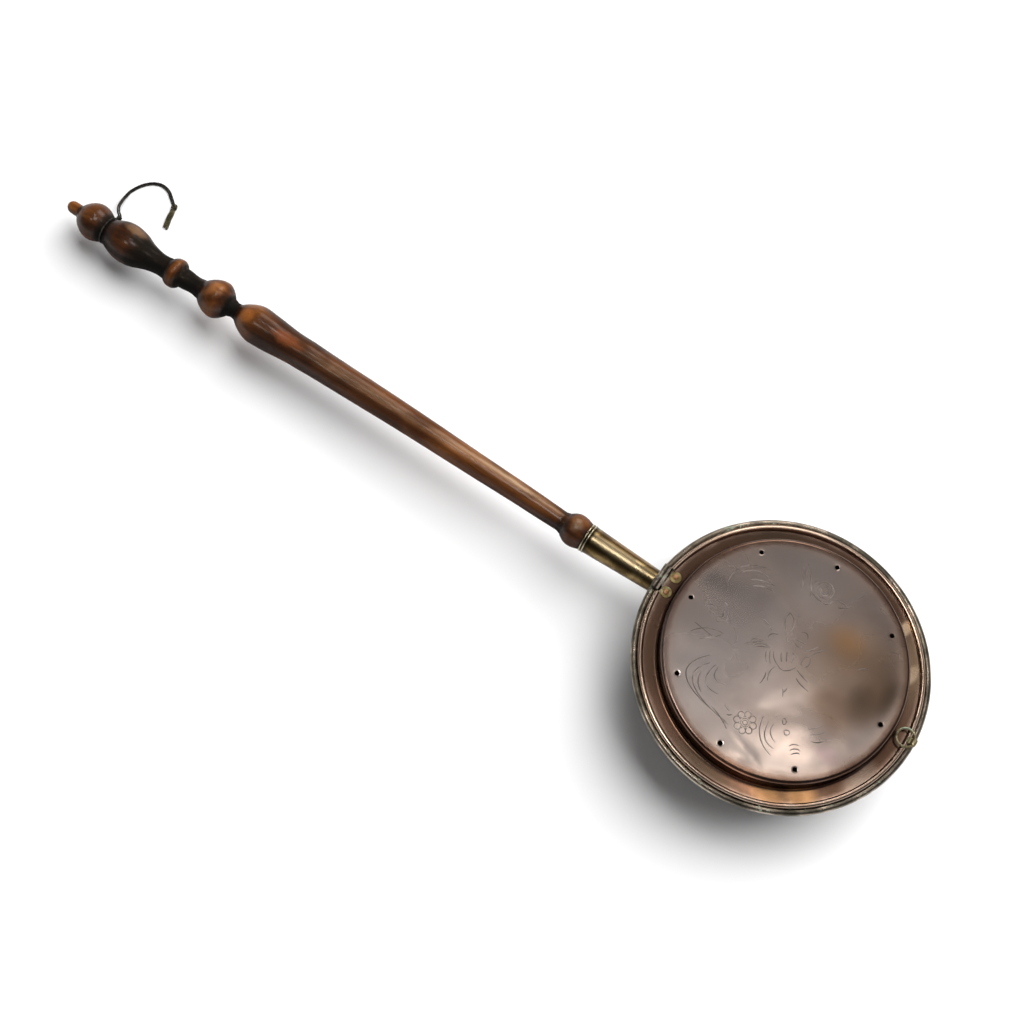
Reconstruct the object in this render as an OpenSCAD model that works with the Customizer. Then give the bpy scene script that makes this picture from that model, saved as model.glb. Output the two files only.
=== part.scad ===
// Bed warming pan: a copper pan with a hinged, pierced lid on a long turned handle.
// Origin at the centre of the pan's flat bottom, +Z up, +X along the handle.

/* [Pan] */
// Radius to the centre of the pan's rim wire
rim_r = 151.5; // [120:0.5:180]
// Height of the pan's rim wire
rim_z = 78; // [66:0.5:110]
// Thickness of the pan's copper
pan_t = 1.2; // [0.8:0.1:2]
// Diameter of the iron wire in the pan's rim
pan_wire_d = 4.6; // [3:0.1:6]
// Lean of the pan's wall from upright, in degrees
wall_lean = 10; // [4:0.5:14]
// Outside radius of the corner between wall and bottom
corner_r = 24; // [12:1:30]

/* [Lid] */
// Thickness of the lid's copper
lid_t = 1; // [0.7:0.1:1.6]
// Diameter of the iron wire in the lid's rim
lid_wire_d = 3.4; // [2.4:0.1:4.4]
// Height of the lid's rim wire above the pan's rim wire
lid_seat_h = 3; // [2:0.1:4]
// Width of the channel round the raised top
channel_w = 17.8; // [14:0.1:24]
// Height of the raised top's edge above the channel
step_h = 21.5; // [12:0.5:30]
// Rise of the crowned top from its edge to its centre
crown_h = 3.5; // [1:0.5:8]
// Radius of the bend at the top of the step
top_bend_r = 4; // [2:0.5:6]
// Radius of the bend at the foot of the step
foot_bend_r = 3.5; // [2:0.5:4]

/* [Vent holes] */
// Number of vent holes
vent_count = 8; // [4:1:12]
// Radius of the circle of vent holes
vent_circle_r = 113.2; // [60:0.5:116]
// Diameter of a vent hole
vent_d = 5; // [3:0.1:8]

/* [Lid hinge] */
// Width of the hinge
hinge_w = 28; // [22:1:40]
// Thickness of both hinge leaves
leaf_t = 1.2; // [0.8:0.1:1.6]
// Outside diameter of the hinge barrel
barrel_d = 6; // [5:0.1:8]
// Diameter of the hinge pin
pin_d = 2.6; // [2:0.1:3.2]
// Width of the lid leaf's middle knuckle
knuckle_w = 12; // [8:0.5:16]
// Depth of the cut-out for the hinge into the lid's rolled edge
notch_in = 1.1; // [0.8:0.1:2]
// Gap between the lid's cut edge and the upright of its leaf
leg_gap = 1.4; // [1:0.1:2.5]
// Distance between the two rivets in the lid
lid_rivet_gap = 19; // [16:0.5:19.5]
// Distance of the lid's rivets from its cut edge
lid_rivet_in = 6.4; // [6:0.1:8]
// Diameter of the shanks of the lid's rivets
lid_rivet_d = 3.8; // [3:0.1:5]
// Diameter of the roves under the lid's rivets
rove_d = 12.4; // [9:0.2:12.8]
// Thickness of a rove
rove_t = 0.9; // [0.6:0.1:1.5]

/* [Socket] */
// Sideways place of the hinge, handle and ring from the pan's centre
line_y = -5; // [-8:0.5:8]
// Height of the handle's axis at the pan's centre
grip_z = 68; // [64:0.5:68]
// Slope of the handle down to its end, in degrees
grip_slope = 2.2; // [1.5:0.1:3]
// Radius of the socket's flange
flange_r = 26; // [24:0.5:28]
// Thickness of the socket's flange
flange_t = 1.5; // [1:0.1:2.5]
// Outside diameter of the socket at the flange
socket_foot_d = 24; // [18:0.5:24]
// Outside diameter of the socket at its mouth
socket_mouth_d = 31.2; // [28:0.2:36]
// Distance from the pan's centre to the socket's mouth
socket_end = 239.5; // [225:0.5:300]
// Thickness of the socket's brass
socket_t = 1.2; // [0.8:0.1:2]
// Diameter of the shanks of the flange's rivets
flange_rivet_d = 3.6; // [3:0.1:4.4]
// Distance of the flange's rivets from the handle's axis
flange_rivet_r = 20; // [19:0.5:21]
// Diameter of the nail through the socket
nail_d = 2.2; // [1.6:0.1:3]
// Distance of the nail from the socket's mouth
nail_in = 14; // [8:0.5:30]
// Length of the nail's shank
nail_len = 9; // [6:0.5:12]

/* [Turned handle] */
// Length of the tenon in the socket
tenon_len = 62; // [30:1:64]
// Diameter of the shoulder against the socket's mouth
shoulder_d = 30.2; // [26:0.2:31]
// Diameter of the knob next to the socket
ferrule_knob_d = 36.5; // [33:0.5:42]
// Length of the knob next to the socket
ferrule_knob_len = 25.5; // [16:0.5:40]
// Diameter of the shaft at its thin end
shaft_foot_d = 22.4; // [18:0.2:28]
// Length of the taper of the shaft
shaft_len = 330; // [200:0.5:400]
// Diameter of the shaft where the swell begins
shaft_head_d = 33.8; // [28:0.2:38]
// Diameter of the shaft's swell
swell_d = 41.8; // [39:0.2:46]
// Length from the taper's end to the fullest part of the swell
swell_len = 61; // [30:1:90]
// Length of the swell's rounded nose
nose_len = 29; // [18:0.5:40]
// Diameter of the neck past the swell
nose_neck_d = 18.2; // [14:0.2:22]
// Length of the neck past the swell
nose_neck_len = 10.5; // [6:0.5:20]
// Diameter of the middle knob
knob_d = 42.2; // [34:0.2:46]
// Length of the middle knob's near half
knob_near_len = 16; // [10:0.5:24]
// Length of the middle knob's far half
knob_far_len = 21.5; // [12:0.5:30]
// Diameter of the neck past the middle knob
knob_neck_d = 20.4; // [16:0.2:24]
// Length of the neck past the middle knob
knob_neck_len = 26.5; // [12:0.5:40]
// Diameter of the thin collar
collar_d = 33.6; // [28:0.2:38]
// Length of the thin collar
collar_len = 18.5; // [10:0.5:28]
// Diameter of the neck past the collar
collar_neck_d = 23.8; // [18:0.2:27]
// Length of the neck past the collar
collar_neck_len = 8; // [4:0.5:16]
// Diameter of the bulb
bulb_d = 42.7; // [34:0.2:48]
// Length of the bulb's long near side
bulb_near_len = 47; // [30:0.5:60]
// Length of the bulb's short far side
bulb_far_len = 28; // [18:0.5:36]
// Diameter of the neck that the lace is tied to
lace_neck_d = 27.4; // [22:0.2:30]
// Diameter of the finial's ball
ball_d = 40.4; // [34:0.2:46]
// Length of the ball's near side
ball_near_len = 17; // [12:0.5:22]
// Length of the ball's far side
ball_far_len = 21.5; // [14:0.5:28]
// Diameter of the finial's button
button_d = 14.2; // [10:0.2:20]
// Length of the finial's button
button_len = 17; // [8:0.5:24]

/* [Ring] */
// Outside diameter of the lifting ring
ring_d = 22; // [18:0.5:26]
// Diameter of the ring's wire
ring_wire_d = 2.6; // [2:0.1:3.2]
// Reach of the eye outwards from the lid's rim wire
lug_reach = 6.4; // [5.8:0.1:8]
// Outside diameter of the eye
eye_d = 6.4; // [5.6:0.1:7]
// Width of the eye and its saddle
lug_w = 7; // [5:0.5:8]
// Thickness of the saddle brazed to the lid's rim
saddle_t = 1.15; // [0.8:0.05:1.5]

/* [Lace] */
// Diameter of the lace
lace_d = 2.4; // [1.8:0.1:2.6]
// Diameter of the hitch at the neck
hitch_d = 6.8; // [5:0.2:9]
// Diameter of the knot near the end
end_knot_d = 8.8; // [7:0.2:10]

/* [Clearances] */
// Gap between the closed lid's rim and the pan's rim
seat_gap = 0.3; // [0.2:0.05:0.5]
// Radial clearance of the hinge pin
pin_gap = 0.05; // [0.03:0.01:0.1]
// Radial clearance of rivets, wires and the nail in their holes
fit_gap = 0.05; // [0.02:0.01:0.1]
// Gap between faces that move past each other
move_gap = 0.3; // [0.2:0.05:0.5]
// Gap between curved sheets that lie on each other
sheet_gap = 0.1; // [0.05:0.01:0.2]
// Play of the ring in its eye
eye_gap = 0.2; // [0.1:0.05:0.3]

/* [Hidden] */
$fn = 96;

copper = "#8a5a44";
brass = "#9c8345";
iron = "#5a5550";
wood = "#5a2d16";
leather = "#2a2420";

// Rolled edges: the sheet follows curl_in round the wire, and its back follows curl_out
pan_curl_in = pan_wire_d / 2 + fit_gap;
pan_curl_out = pan_curl_in + pan_t;
lid_curl_in = lid_wire_d / 2 + fit_gap;
lid_curl_out = lid_curl_in + lid_t;
// Angles at which the rolled edges stop
pan_curl_end = -120;
lid_curl_end = 205;

// The lid's rim rests on the inner shoulder of the pan's rim
lid_rim_z = rim_z + lid_seat_h;
lid_rim_r = rim_r - sqrt(pow(pan_curl_out + lid_curl_out + seat_gap, 2) - pow(lid_seat_h, 2));
crest_z = lid_rim_z + lid_curl_out;
channel_z = lid_rim_z - lid_curl_in;
step_r = lid_rim_r - channel_w;
edge_z = channel_z + step_h;
crown_r = step_r - top_bend_r;

// The holes were drilled by eye, so each wanders from its even place by a few degrees
vent_wander = [1, -2, -5, -10, -2, 2, 3, -1];

// Hinge: its barrel lies on the pan's rim
barrel_r = barrel_d / 2;
hinge_x = rim_r;
hinge_z = rim_z + pan_curl_out + move_gap + barrel_r;
arm_z = hinge_z - leaf_t / 2;
notch_x = lid_rim_r - lid_curl_out + notch_in;
leg_x = notch_x + leg_gap;
leaf_x = step_r + foot_bend_r + 1.3;
lid_rivet_x = notch_x - lid_rivet_in;

// The wall's outside face meets the curl here, and leans in below it
wall_top = [rim_r - pan_curl_in * cos(wall_lean), rim_z + pan_curl_in * sin(wall_lean)];
function wall_r(z) = wall_top[0] - (wall_top[1] - z) * tan(wall_lean);
// Radius of a face that lies out from the wall's outside face by a distance along its normal
function face_r(z, out) = wall_r(z) + out / cos(wall_lean);
leaf_out = -pan_t - sheet_gap;
plate_top_z = rim_z - pan_curl_out - 1;

// Handle's axis at the wall
socket_foot_x = wall_r(grip_z - rim_r * sin(grip_slope));
socket_foot_z = grip_z - socket_foot_x * tan(grip_slope);
rivet_angles = [-10, -52, -128, -170];
shell_low_z = socket_foot_z - flange_r - 2;

// Ring
ring_wire_r = ring_wire_d / 2;
ring_r = ring_d / 2 - ring_wire_r;
eye_x = -(lid_rim_r + lug_reach);
eye_z = crest_z + move_gap + ring_wire_r;
eye_sag = pow(lug_w / 2, 2) / (2 * ring_r);
eye_hole_r = ring_wire_r + eye_sag / 2 + eye_gap;
ring_x = eye_x - eye_sag / 2 + ring_r;

// Lace
lace_r = lace_d / 2;
// The loop lies in a V between the bulb and the ball, so it sits a little over its own radius up
neck_slope = 1.26;
neck_loop_r = lace_neck_d / 2 + lace_r * neck_slope + sheet_gap;
hitch_len = 5;
hitch_from = neck_loop_r + lace_r + sheet_gap;
hitch_y = line_y - hitch_from - hitch_len;
lace_side = lace_r + 0.2;
floor_z = lace_r + 0.1;
// The end knot, and how far out its flat faces lie where the lace goes in and comes out
knot_at = [838.4, -83, 2.8];
knot_face = 3.2;
knot_in = [0.8, -0.6];
knot_out = [0, 1];
lace_in = knot_at + (knot_face + 0.08) * [knot_in[0], knot_in[1], 0];
lace_out = knot_at + (knot_face + 0.12) * [knot_out[0], knot_out[1], 0];
// Route of the doubled lace from the hitch down to the floor and round to its knot
lace_route = [[865.5, hitch_y - 0.22, 34.5], [865.5, hitch_y - 3.6, 34.2], [868, -34.5, 31.5],
    [873, -37.5, 24], [879, -40, 14.5], [884.5, -43.5, 6.5], [889, -49, 2.2],
    [891.5, -58, floor_z], [890.5, -70, floor_z], [885.5, -83, floor_z], [877, -93.5, floor_z],
    [867, -97.8, floor_z], [856.5, -96, floor_z], [848, -90.2, floor_z],
    [lace_in[0], lace_in[1], floor_z]];
tail_route_a = [[lace_out[0] + lace_side, lace_out[1], floor_z], [839.8, -75.5, floor_z],
    [838.6, -69, floor_z], [837.6, -62, floor_z], [837.2, -55, floor_z]];
tail_route_b = [[lace_out[0] - lace_side, lace_out[1], floor_z], [836.8, -75.5, floor_z],
    [835, -69, floor_z], [832, -62.5, floor_z], [827.6, -57.5, floor_z]];

// ---- Helpers ----

// Points on an arc from one angle to another
function arc(c, r, from, to, n = 12) =
    [for (i = [0:n]) let (a = from + (to - from) * i / n) [c[0] + r * cos(a), c[1] + r * sin(a)]];

function backwards(p) = [for (i = [len(p) - 1:-1:0]) p[i]];

function unit(v) = v / norm(v);

// A curve through every point of a route, with n steps between points
function between(a, b, c, d, t) = 0.5 * ((2 * b) + (c - a) * t + (2 * a - 5 * b + 4 * c - d) * t * t
    + (3 * b - a - 3 * c + d) * t * t * t);
function smooth(p, n) = concat([for (i = [0:len(p) - 2], j = [0:n - 1])
    between(p[max(i - 1, 0)], p[i], p[i + 1], p[min(i + 2, len(p) - 1)], j / n)], [p[len(p) - 1]]);

function along(p, i) = unit(p[min(i + 1, len(p) - 1)] - p[max(i - 1, 0)]);
function sideways(p, i) = unit(cross(along(p, i), [0, 0, 1]));
function shifted(p, by) = [for (i = [0:len(p) - 1]) p[i] + by * sideways(p, i)];

// Round cord swept along a path
module cord(path, r, sides = 8) {
    rings = len(path);
    points = [for (i = [0:rings - 1], k = [0:sides - 1])
        let (s = sideways(path, i), u = cross(s, along(path, i)), a = 360 * k / sides)
        path[i] + r * (cos(a) * s + sin(a) * u)];
    walls = [for (i = [0:rings - 2], k = [0:sides - 1])
        let (m = (k + 1) % sides, b = i * sides)
        [b + k, b + m, b + sides + m, b + sides + k]];
    near_end = [[for (k = [sides - 1:-1:0]) k]];
    far_end = [[for (k = [0:sides - 1]) (rings - 1) * sides + k]];
    polyhedron(points, concat(walls, near_end, far_end));
}

// Turns a shape made about Z to lie along the handle, at a distance from the pan's centre
module on_handle(distance = 0) {
    translate([0, line_y, grip_z]) rotate([0, grip_slope, 0]) translate([distance, 0, 0])
        rotate([0, 90, 0]) children();
}

// Puts a shape made about Z on the wall's outside face, pointing out
module on_wall(y, z) {
    rotate([0, 0, asin(y / wall_r(z))]) translate([wall_r(z), 0, z])
        rotate([0, 90 + wall_lean, 0]) children();
}

// A sheet that lies along the wall, between two distances out from its outside face
module wall_sheet(inner, outer, low, high) {
    rotate_extrude()
        polygon([[face_r(low, inner), low], [face_r(low, outer), low],
            [face_r(high, outer), high], [face_r(high, inner), high]]);
}

// Round plate outline on the handle's line, cut off under the rim
module flange_mask(r) {
    intersection() {
        translate([0, line_y, socket_foot_z]) rotate([0, 90, 0]) cylinder(h = 2 * rim_r, r = r);
        translate([0, line_y - 2 * r, shell_low_z]) cube([2 * rim_r, 4 * r, plate_top_z - shell_low_z]);
    }
}

module at_flange_rivets() {
    for (a = rivet_angles)
        on_wall(line_y + flange_rivet_r * cos(a), socket_foot_z + flange_rivet_r * sin(a)) children();
}

module at_lid_rivets() {
    for (side = [-1, 1]) translate([lid_rivet_x, line_y + side * lid_rivet_gap / 2, 0]) children();
}

// Box across the hinge, from one x to another
module hinge_box(x0, x1, z0, z1, w) {
    translate([x0, line_y - w / 2, z0]) cube([x1 - x0, w, z1 - z0]);
}

module hinge_barrel(from, to) {
    translate([hinge_x, line_y + from, hinge_z]) rotate([-90, 0, 0])
        cylinder(h = to - from, r = barrel_r);
}

module hinge_bore() {
    translate([hinge_x, line_y - hinge_w, hinge_z]) rotate([-90, 0, 0])
        cylinder(h = 2 * hinge_w, r = pin_d / 2 + pin_gap);
}

// Domed rivet head standing on z = 0
module rivet_head(r, h) {
    ball_r = (r * r + h * h) / (2 * h);
    rotate_extrude()
        polygon(concat([[0, 0]], arc([0, h - ball_r], ball_r, 90 - asin(r / ball_r), 90, 6)));
}

// ---- Pan ----

module pan_bowl() {
    // Centre of the corner's bend, which touches the bottom and the wall
    bend_x = wall_top[0] + ((corner_r - wall_top[1]) * sin(wall_lean) - corner_r) / cos(wall_lean);
    curl = [rim_r, rim_z];
    outline = concat([[0, 0]],
        arc([bend_x, corner_r], corner_r, -90, -wall_lean),
        arc(curl, pan_curl_in, 180 - wall_lean, pan_curl_end, 24),
        arc(curl, pan_curl_out, pan_curl_end, 180 - wall_lean, 24),
        arc([bend_x, corner_r], corner_r - pan_t, -wall_lean, -90),
        [[0, pan_t]]);
    color(copper) difference() {
        rotate_extrude() polygon(outline);
        at_flange_rivets() translate([0, 0, -10]) cylinder(h = 20, d = flange_rivet_d + 2 * fit_gap);
    }
}

module pan_rim_wire() {
    color(iron) rotate_extrude() translate([rim_r, rim_z]) circle(d = pan_wire_d);
}

module hinge_pan_leaf() {
    tab_w = (hinge_w - knuckle_w) / 2 - move_gap;
    tab_x = leg_x + 0.6;
    color(brass) difference() {
        union() {
            intersection() {
                wall_sheet(leaf_out - leaf_t, leaf_out, shell_low_z, arm_z + leaf_t);
                union() {
                    flange_mask(flange_r - 1);
                    hinge_box(0, 2 * rim_r, plate_top_z - 3, arm_z + leaf_t, hinge_w);
                }
            }
            hinge_box(tab_x, hinge_x - barrel_r + 1, arm_z, arm_z + leaf_t, hinge_w);
            hinge_barrel(-hinge_w / 2, hinge_w / 2);
        }
        hinge_box(0, 2 * rim_r, plate_top_z, 2 * rim_z, hinge_w - 2 * tab_w);
        hinge_bore();
        at_flange_rivets() translate([0, 0, -10]) cylinder(h = 20, d = flange_rivet_d + 2 * fit_gap);
    }
}

module hinge_pin() {
    end_h = 0.7;
    color(iron) translate([hinge_x, line_y, hinge_z]) rotate([90, 0, 0]) {
        cylinder(h = hinge_w + 0.2, d = pin_d, center = true);
        for (turn = [0, 180]) rotate([turn, 0, 0]) translate([0, 0, hinge_w / 2 + 0.1])
            rivet_head(pin_d / 2 + 0.6, end_h);
    }
}

module socket_plate() {
    color(brass) difference() {
        intersection() {
            wall_sheet(sheet_gap, sheet_gap + flange_t, shell_low_z, plate_top_z);
            flange_mask(flange_r);
        }
        at_flange_rivets() translate([0, 0, -10]) cylinder(h = 20, d = flange_rivet_d + 2 * fit_gap);
    }
}

module plate_rivets() {
    back = leaf_t - leaf_out + sheet_gap;
    front = sheet_gap + flange_t + fit_gap;
    head_r = flange_rivet_d / 2 + 1.5;
    color(brass) at_flange_rivets() {
        translate([0, 0, -back - 0.1]) cylinder(h = back + front + 0.2, d = flange_rivet_d);
        translate([0, 0, front]) rivet_head(head_r, 1.5);
        translate([0, 0, -back]) rotate([180, 0, 0]) rivet_head(head_r, 1.1);
    }
}

module nail_hole() {
    on_handle(socket_end - nail_in) rotate([0, 90, 0]) translate([0, 0, -0.1])
        cylinder(h = socket_mouth_d, d = nail_d + 2 * fit_gap);
}

// Radius of the socket's outside at a distance from the pan's centre
function socket_r(x) = socket_foot_d / 2
    + (socket_mouth_d - socket_foot_d) / 2 * (x - socket_foot_x) / (socket_end - socket_foot_x);

module socket_tube() {
    start = socket_foot_x - 6;
    plate_out = sheet_gap + flange_t + fit_gap;
    // Two beads rolled into the mouth, side by side
    bead_r = 1.4;
    bead_x = [socket_end - bead_r, socket_end - 3.2 * bead_r];
    beads = concat(arc([bead_x[1], socket_r(bead_x[1]) - 0.7], bead_r, 150, 30, 8),
        arc([bead_x[0], socket_r(bead_x[0]) - 0.7], bead_r, 150, 0, 10));
    outline = concat([[start, socket_r(start) - socket_t], [start, socket_r(start)]], beads,
        [[socket_end, socket_r(socket_end) - socket_t]]);
    color(brass) difference() {
        on_handle() rotate_extrude() polygon([for (p = outline) [p[1], p[0]]]);
        rotate_extrude() polygon([[0, shell_low_z], [face_r(shell_low_z, plate_out), shell_low_z],
            [face_r(rim_z, plate_out), rim_z], [0, rim_z]]);
        nail_hole();
    }
}

module socket_pin() {
    color(iron) on_handle(socket_end - nail_in) rotate([0, 90, 0]) {
        // The socket tapers, so the flat back of the head stands a little off it
        skin = socket_r(socket_end - nail_in) + sheet_gap + fit_gap;
        translate([0, 0, skin - nail_len]) cylinder(h = nail_len + 0.1, d = nail_d);
        translate([0, 0, skin]) rivet_head(nail_d, 1);
    }
}

// ---- Handle ----

// A stretch of turned outline: "bead" swells out of a sharp neck, "fall" runs back into one,
// "cove" eases at both ends, "line" is straight and "dome" rounds off the end
function rise(shape, t) = shape == "bead" ? 1 - pow(1 - t, 2)
    : shape == "fall" ? pow(t, 2)
    : shape == "cove" ? 0.5 - 0.5 * cos(180 * t)
    : shape == "dome" ? 1 - sqrt(max(0, 1 - t * t))
    : t;
function turned(x, r, len, r_end, shape, n) =
    [for (i = [1:n]) let (t = i / n) [x + len * t, r + (r_end - r) * rise(shape, t)]];

// Each turning: length, radius at its end, shape and number of steps
turnings = [
    [ferrule_knob_len / 2, ferrule_knob_d / 2, "bead", 10],
    [ferrule_knob_len / 2, shaft_foot_d / 2 + 1.2, "fall", 10],
    [ferrule_knob_len / 5, shaft_foot_d / 2, "cove", 4],
    [shaft_len, shaft_head_d / 2, "line", 3],
    [swell_len, swell_d / 2, "cove", 12],
    [nose_len, nose_neck_d / 2 + 0.5, "fall", 14],
    [nose_neck_len * 0.4, nose_neck_d / 2, "cove", 4],
    [nose_neck_len * 0.6, nose_neck_d / 2 + 1.5, "cove", 4],
    [knob_near_len, knob_d / 2, "bead", 12],
    [knob_far_len, knob_neck_d / 2 + 1.1, "fall", 12],
    [knob_neck_len / 3, knob_neck_d / 2, "cove", 4],
    [knob_neck_len * 2 / 3, knob_neck_d / 2 + 1.4, "cove", 5],
    [collar_len * 0.38, collar_d / 2, "bead", 7],
    [collar_len * 0.62, collar_neck_d / 2 + 0.5, "fall", 8],
    [collar_neck_len, collar_neck_d / 2, "cove", 3],
    [bulb_near_len, bulb_d / 2, "cove", 14],
    [bulb_far_len, lace_neck_d / 2, "fall", 14],
    [ball_near_len, ball_d / 2, "bead", 10],
    [ball_far_len, button_d / 2 + 0.8, "fall", 14],
    [button_len * 0.15, button_d / 2, "cove", 2],
    [button_len * 0.4, button_d / 2, "line", 1],
    [button_len * 0.45, 1, "dome", 10]];

function length_to(i) = i == 0 ? 0 : turnings[i - 1][0] + length_to(i - 1);
function turned_outline(start) = [for (i = [0:len(turnings) - 1]) let (t = turnings[i],
    before = i == 0 ? shoulder_d / 2 : turnings[i - 1][1])
    each turned(start + length_to(i), before, t[0], t[1], t[2], t[3])];

shoulder_x = socket_end + 0.1;
handle_end = shoulder_x + length_to(len(turnings));
lace_neck_x = handle_end - ball_near_len - ball_far_len - button_len;

module handle() {
    tenon_x = socket_end - tenon_len;
    inside = socket_t + sheet_gap;
    outline = concat([[tenon_x, 0], [tenon_x, socket_r(tenon_x) - inside - 1],
        [tenon_x + 1, socket_r(tenon_x + 1) - inside], [shoulder_x, socket_r(socket_end) - inside],
        [shoulder_x, shoulder_d / 2]], turned_outline(shoulder_x), [[handle_end, 0]]);
    color(wood) difference() {
        on_handle() rotate_extrude() polygon([for (p = outline) [p[1], p[0]]]);
        on_handle(socket_end - nail_in) rotate([0, 90, 0])
            translate([0, 0, socket_r(socket_end - nail_in) - nail_len - fit_gap])
                cylinder(h = 2 * nail_len, d = nail_d + 2 * fit_gap);
    }
}

// ---- Lid ----

// Height of the lid's top face at a radius inside the crown
function crown_z(r) = edge_z + crown_h * (1 - pow(r / crown_r, 2));

// Cut-out for the hinge: the roll goes, and the channel's sheet stays as a flat tab up to notch_x
module rim_notch(extra = 0) {
    w = hinge_w + 1 + 2 * extra;
    roll_x = sqrt(pow(lid_rim_r - lid_curl_out, 2) - pow(w / 2 + abs(line_y), 2)) - 0.1;
    hinge_box(notch_x, rim_r, channel_z - 3 * lid_t, crest_z + lid_t, w);
    hinge_box(roll_x, rim_r, channel_z, crest_z + lid_t, w);
}

module lid_shell() {
    curl = [lid_rim_r, lid_rim_z];
    top_bend = [crown_r, edge_z - top_bend_r];
    foot_bend = [step_r + foot_bend_r, channel_z + foot_bend_r];
    crown = [for (i = [0:12]) let (r = crown_r * i / 12) [r, crown_z(r)]];
    outline = concat(crown,
        arc(top_bend, top_bend_r, 86, 0, 8),
        arc(foot_bend, foot_bend_r, 180, 270, 8),
        arc(curl, lid_curl_in, -90, lid_curl_end, 20),
        arc(curl, lid_curl_out, lid_curl_end, -90, 20),
        arc(foot_bend, foot_bend_r + lid_t, 270, 180, 8),
        arc(top_bend, top_bend_r - lid_t, 0, 86, 8),
        [for (p = backwards(crown)) p - [0, lid_t]]);
    color(copper) difference() {
        rotate_extrude() polygon(outline);
        rim_notch();
        for (i = [0:vent_count - 1]) rotate([0, 0, 360 / vent_count * i + vent_wander[i % 8]])
            translate([vent_circle_r, 0, channel_z]) cylinder(h = step_h + crown_h + 1, d = vent_d);
        at_lid_rivets() translate([0, 0, channel_z - 2 * lid_t])
            cylinder(h = 3 * lid_t, d = lid_rivet_d + 2 * fit_gap);
    }
}

module lid_rim_wire() {
    color(iron) difference() {
        rotate_extrude() translate([lid_rim_r, lid_rim_z]) circle(d = lid_wire_d);
        rim_notch(0.5);
    }
}

module hinge_lid_leaf() {
    top = channel_z - lid_t;
    color(brass) difference() {
        union() {
            hinge_box(leaf_x, notch_x, top - leaf_t, top, hinge_w);
            hinge_box(notch_x - 1, leg_x + leaf_t, top - leaf_t, top, knuckle_w);
            hinge_box(leg_x, leg_x + leaf_t, top - leaf_t, arm_z + leaf_t, knuckle_w);
            hinge_box(leg_x, hinge_x - barrel_r + 1, arm_z, arm_z + leaf_t, knuckle_w);
            hinge_barrel(-knuckle_w / 2, knuckle_w / 2);
        }
        hinge_bore();
        at_lid_rivets() translate([0, 0, top - 2 * leaf_t])
            cylinder(h = 3 * leaf_t, d = lid_rivet_d + 2 * fit_gap);
    }
}

module lid_hinge_roves() {
    color(brass) at_lid_rivets() translate([0, 0, channel_z]) difference() {
        cylinder(h = rove_t, d = rove_d);
        translate([0, 0, -1]) cylinder(h = rove_t + 2, d = lid_rivet_d + 2 * fit_gap);
    }
}

module lid_hinge_rivets() {
    under = channel_z - lid_t - leaf_t;
    over = channel_z + rove_t;
    color(copper) at_lid_rivets() {
        translate([0, 0, under - 0.1]) cylinder(h = over - under + 0.2, d = lid_rivet_d);
        translate([0, 0, over]) rivet_head(lid_rivet_d / 2 + 1, 0.6);
        translate([0, 0, under]) rotate([180, 0, 0]) rivet_head(lid_rivet_d / 2 + 1.6, 1.2);
    }
}

module ring_lug() {
    // The saddle hugs the rolled edge; a short neck joins it to the eye
    hug = lid_curl_out + fit_gap + 0.03;
    at = [lid_rim_r, lid_rim_z];
    saddle = concat(arc(at, hug, 25, 105, 10), arc(at, hug + saddle_t, 105, 25, 10));
    neck = [at + (hug + 0.2) * [cos(52), sin(52)], at + (hug + 0.2) * [cos(82), sin(82)],
        [-eye_x - 0.4, eye_z + 1], [-eye_x - 0.4, eye_z - 1.6]];
    color(brass) translate([0, line_y, 0]) difference() {
        rotate([90, 0, 180]) {
            linear_extrude(lug_w, center = true) polygon(saddle);
            linear_extrude(lug_w, center = true) polygon(neck);
            translate([-eye_x, eye_z, 0]) cylinder(h = lug_w, d = eye_d, center = true);
        }
        translate([eye_x, 0, eye_z]) rotate([90, 0, 0])
            cylinder(h = 2 * lug_w, r = eye_hole_r, center = true);
    }
}

module lifting_ring() {
    color(brass) translate([ring_x, line_y, eye_z]) rotate_extrude() translate([ring_r, 0])
        circle(d = ring_wire_d);
}

// ---- Lace ----

module lace_neck_loop() {
    color(leather) on_handle(lace_neck_x) rotate_extrude() translate([neck_loop_r, 0])
        circle(d = lace_d);
}

module lace_hitch() {
    waist = hitch_d / 2 - 0.7;
    color(leather) on_handle(lace_neck_x) rotate([90, 0, 0]) translate([0, 0, hitch_from])
        rotate_extrude() polygon([[0, 0], [waist, 0], [hitch_d / 2, hitch_len * 0.3],
            [hitch_d / 2, hitch_len * 0.7], [waist, hitch_len], [0, hitch_len]]);
}

module lace_strand_a() {
    color(leather) cord(smooth(shifted(lace_route, lace_side), 2), lace_r);
}

module lace_strand_b() {
    color(leather) cord(smooth(shifted(lace_route, -lace_side), 2), lace_r);
}

module lace_end_knot() {
    half = end_knot_d / 2;
    color(leather) difference() {
        translate(knot_at) sphere(half);
        translate([knot_at[0] - end_knot_d, knot_at[1] - end_knot_d, -10])
            cube([2 * end_knot_d, 2 * end_knot_d, 10.1]);
        for (way = [knot_in, knot_out])
            translate([knot_at[0], knot_at[1], 0]) rotate([0, 0, atan2(way[1], way[0])])
                translate([knot_face, -end_knot_d, -end_knot_d]) cube(2 * end_knot_d);
    }
}

module lace_tail_a() {
    color(leather) cord(smooth(tail_route_a, 2), lace_r);
}

module lace_tail_b() {
    color(leather) cord(smooth(tail_route_b, 2), lace_r);
}

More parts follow.
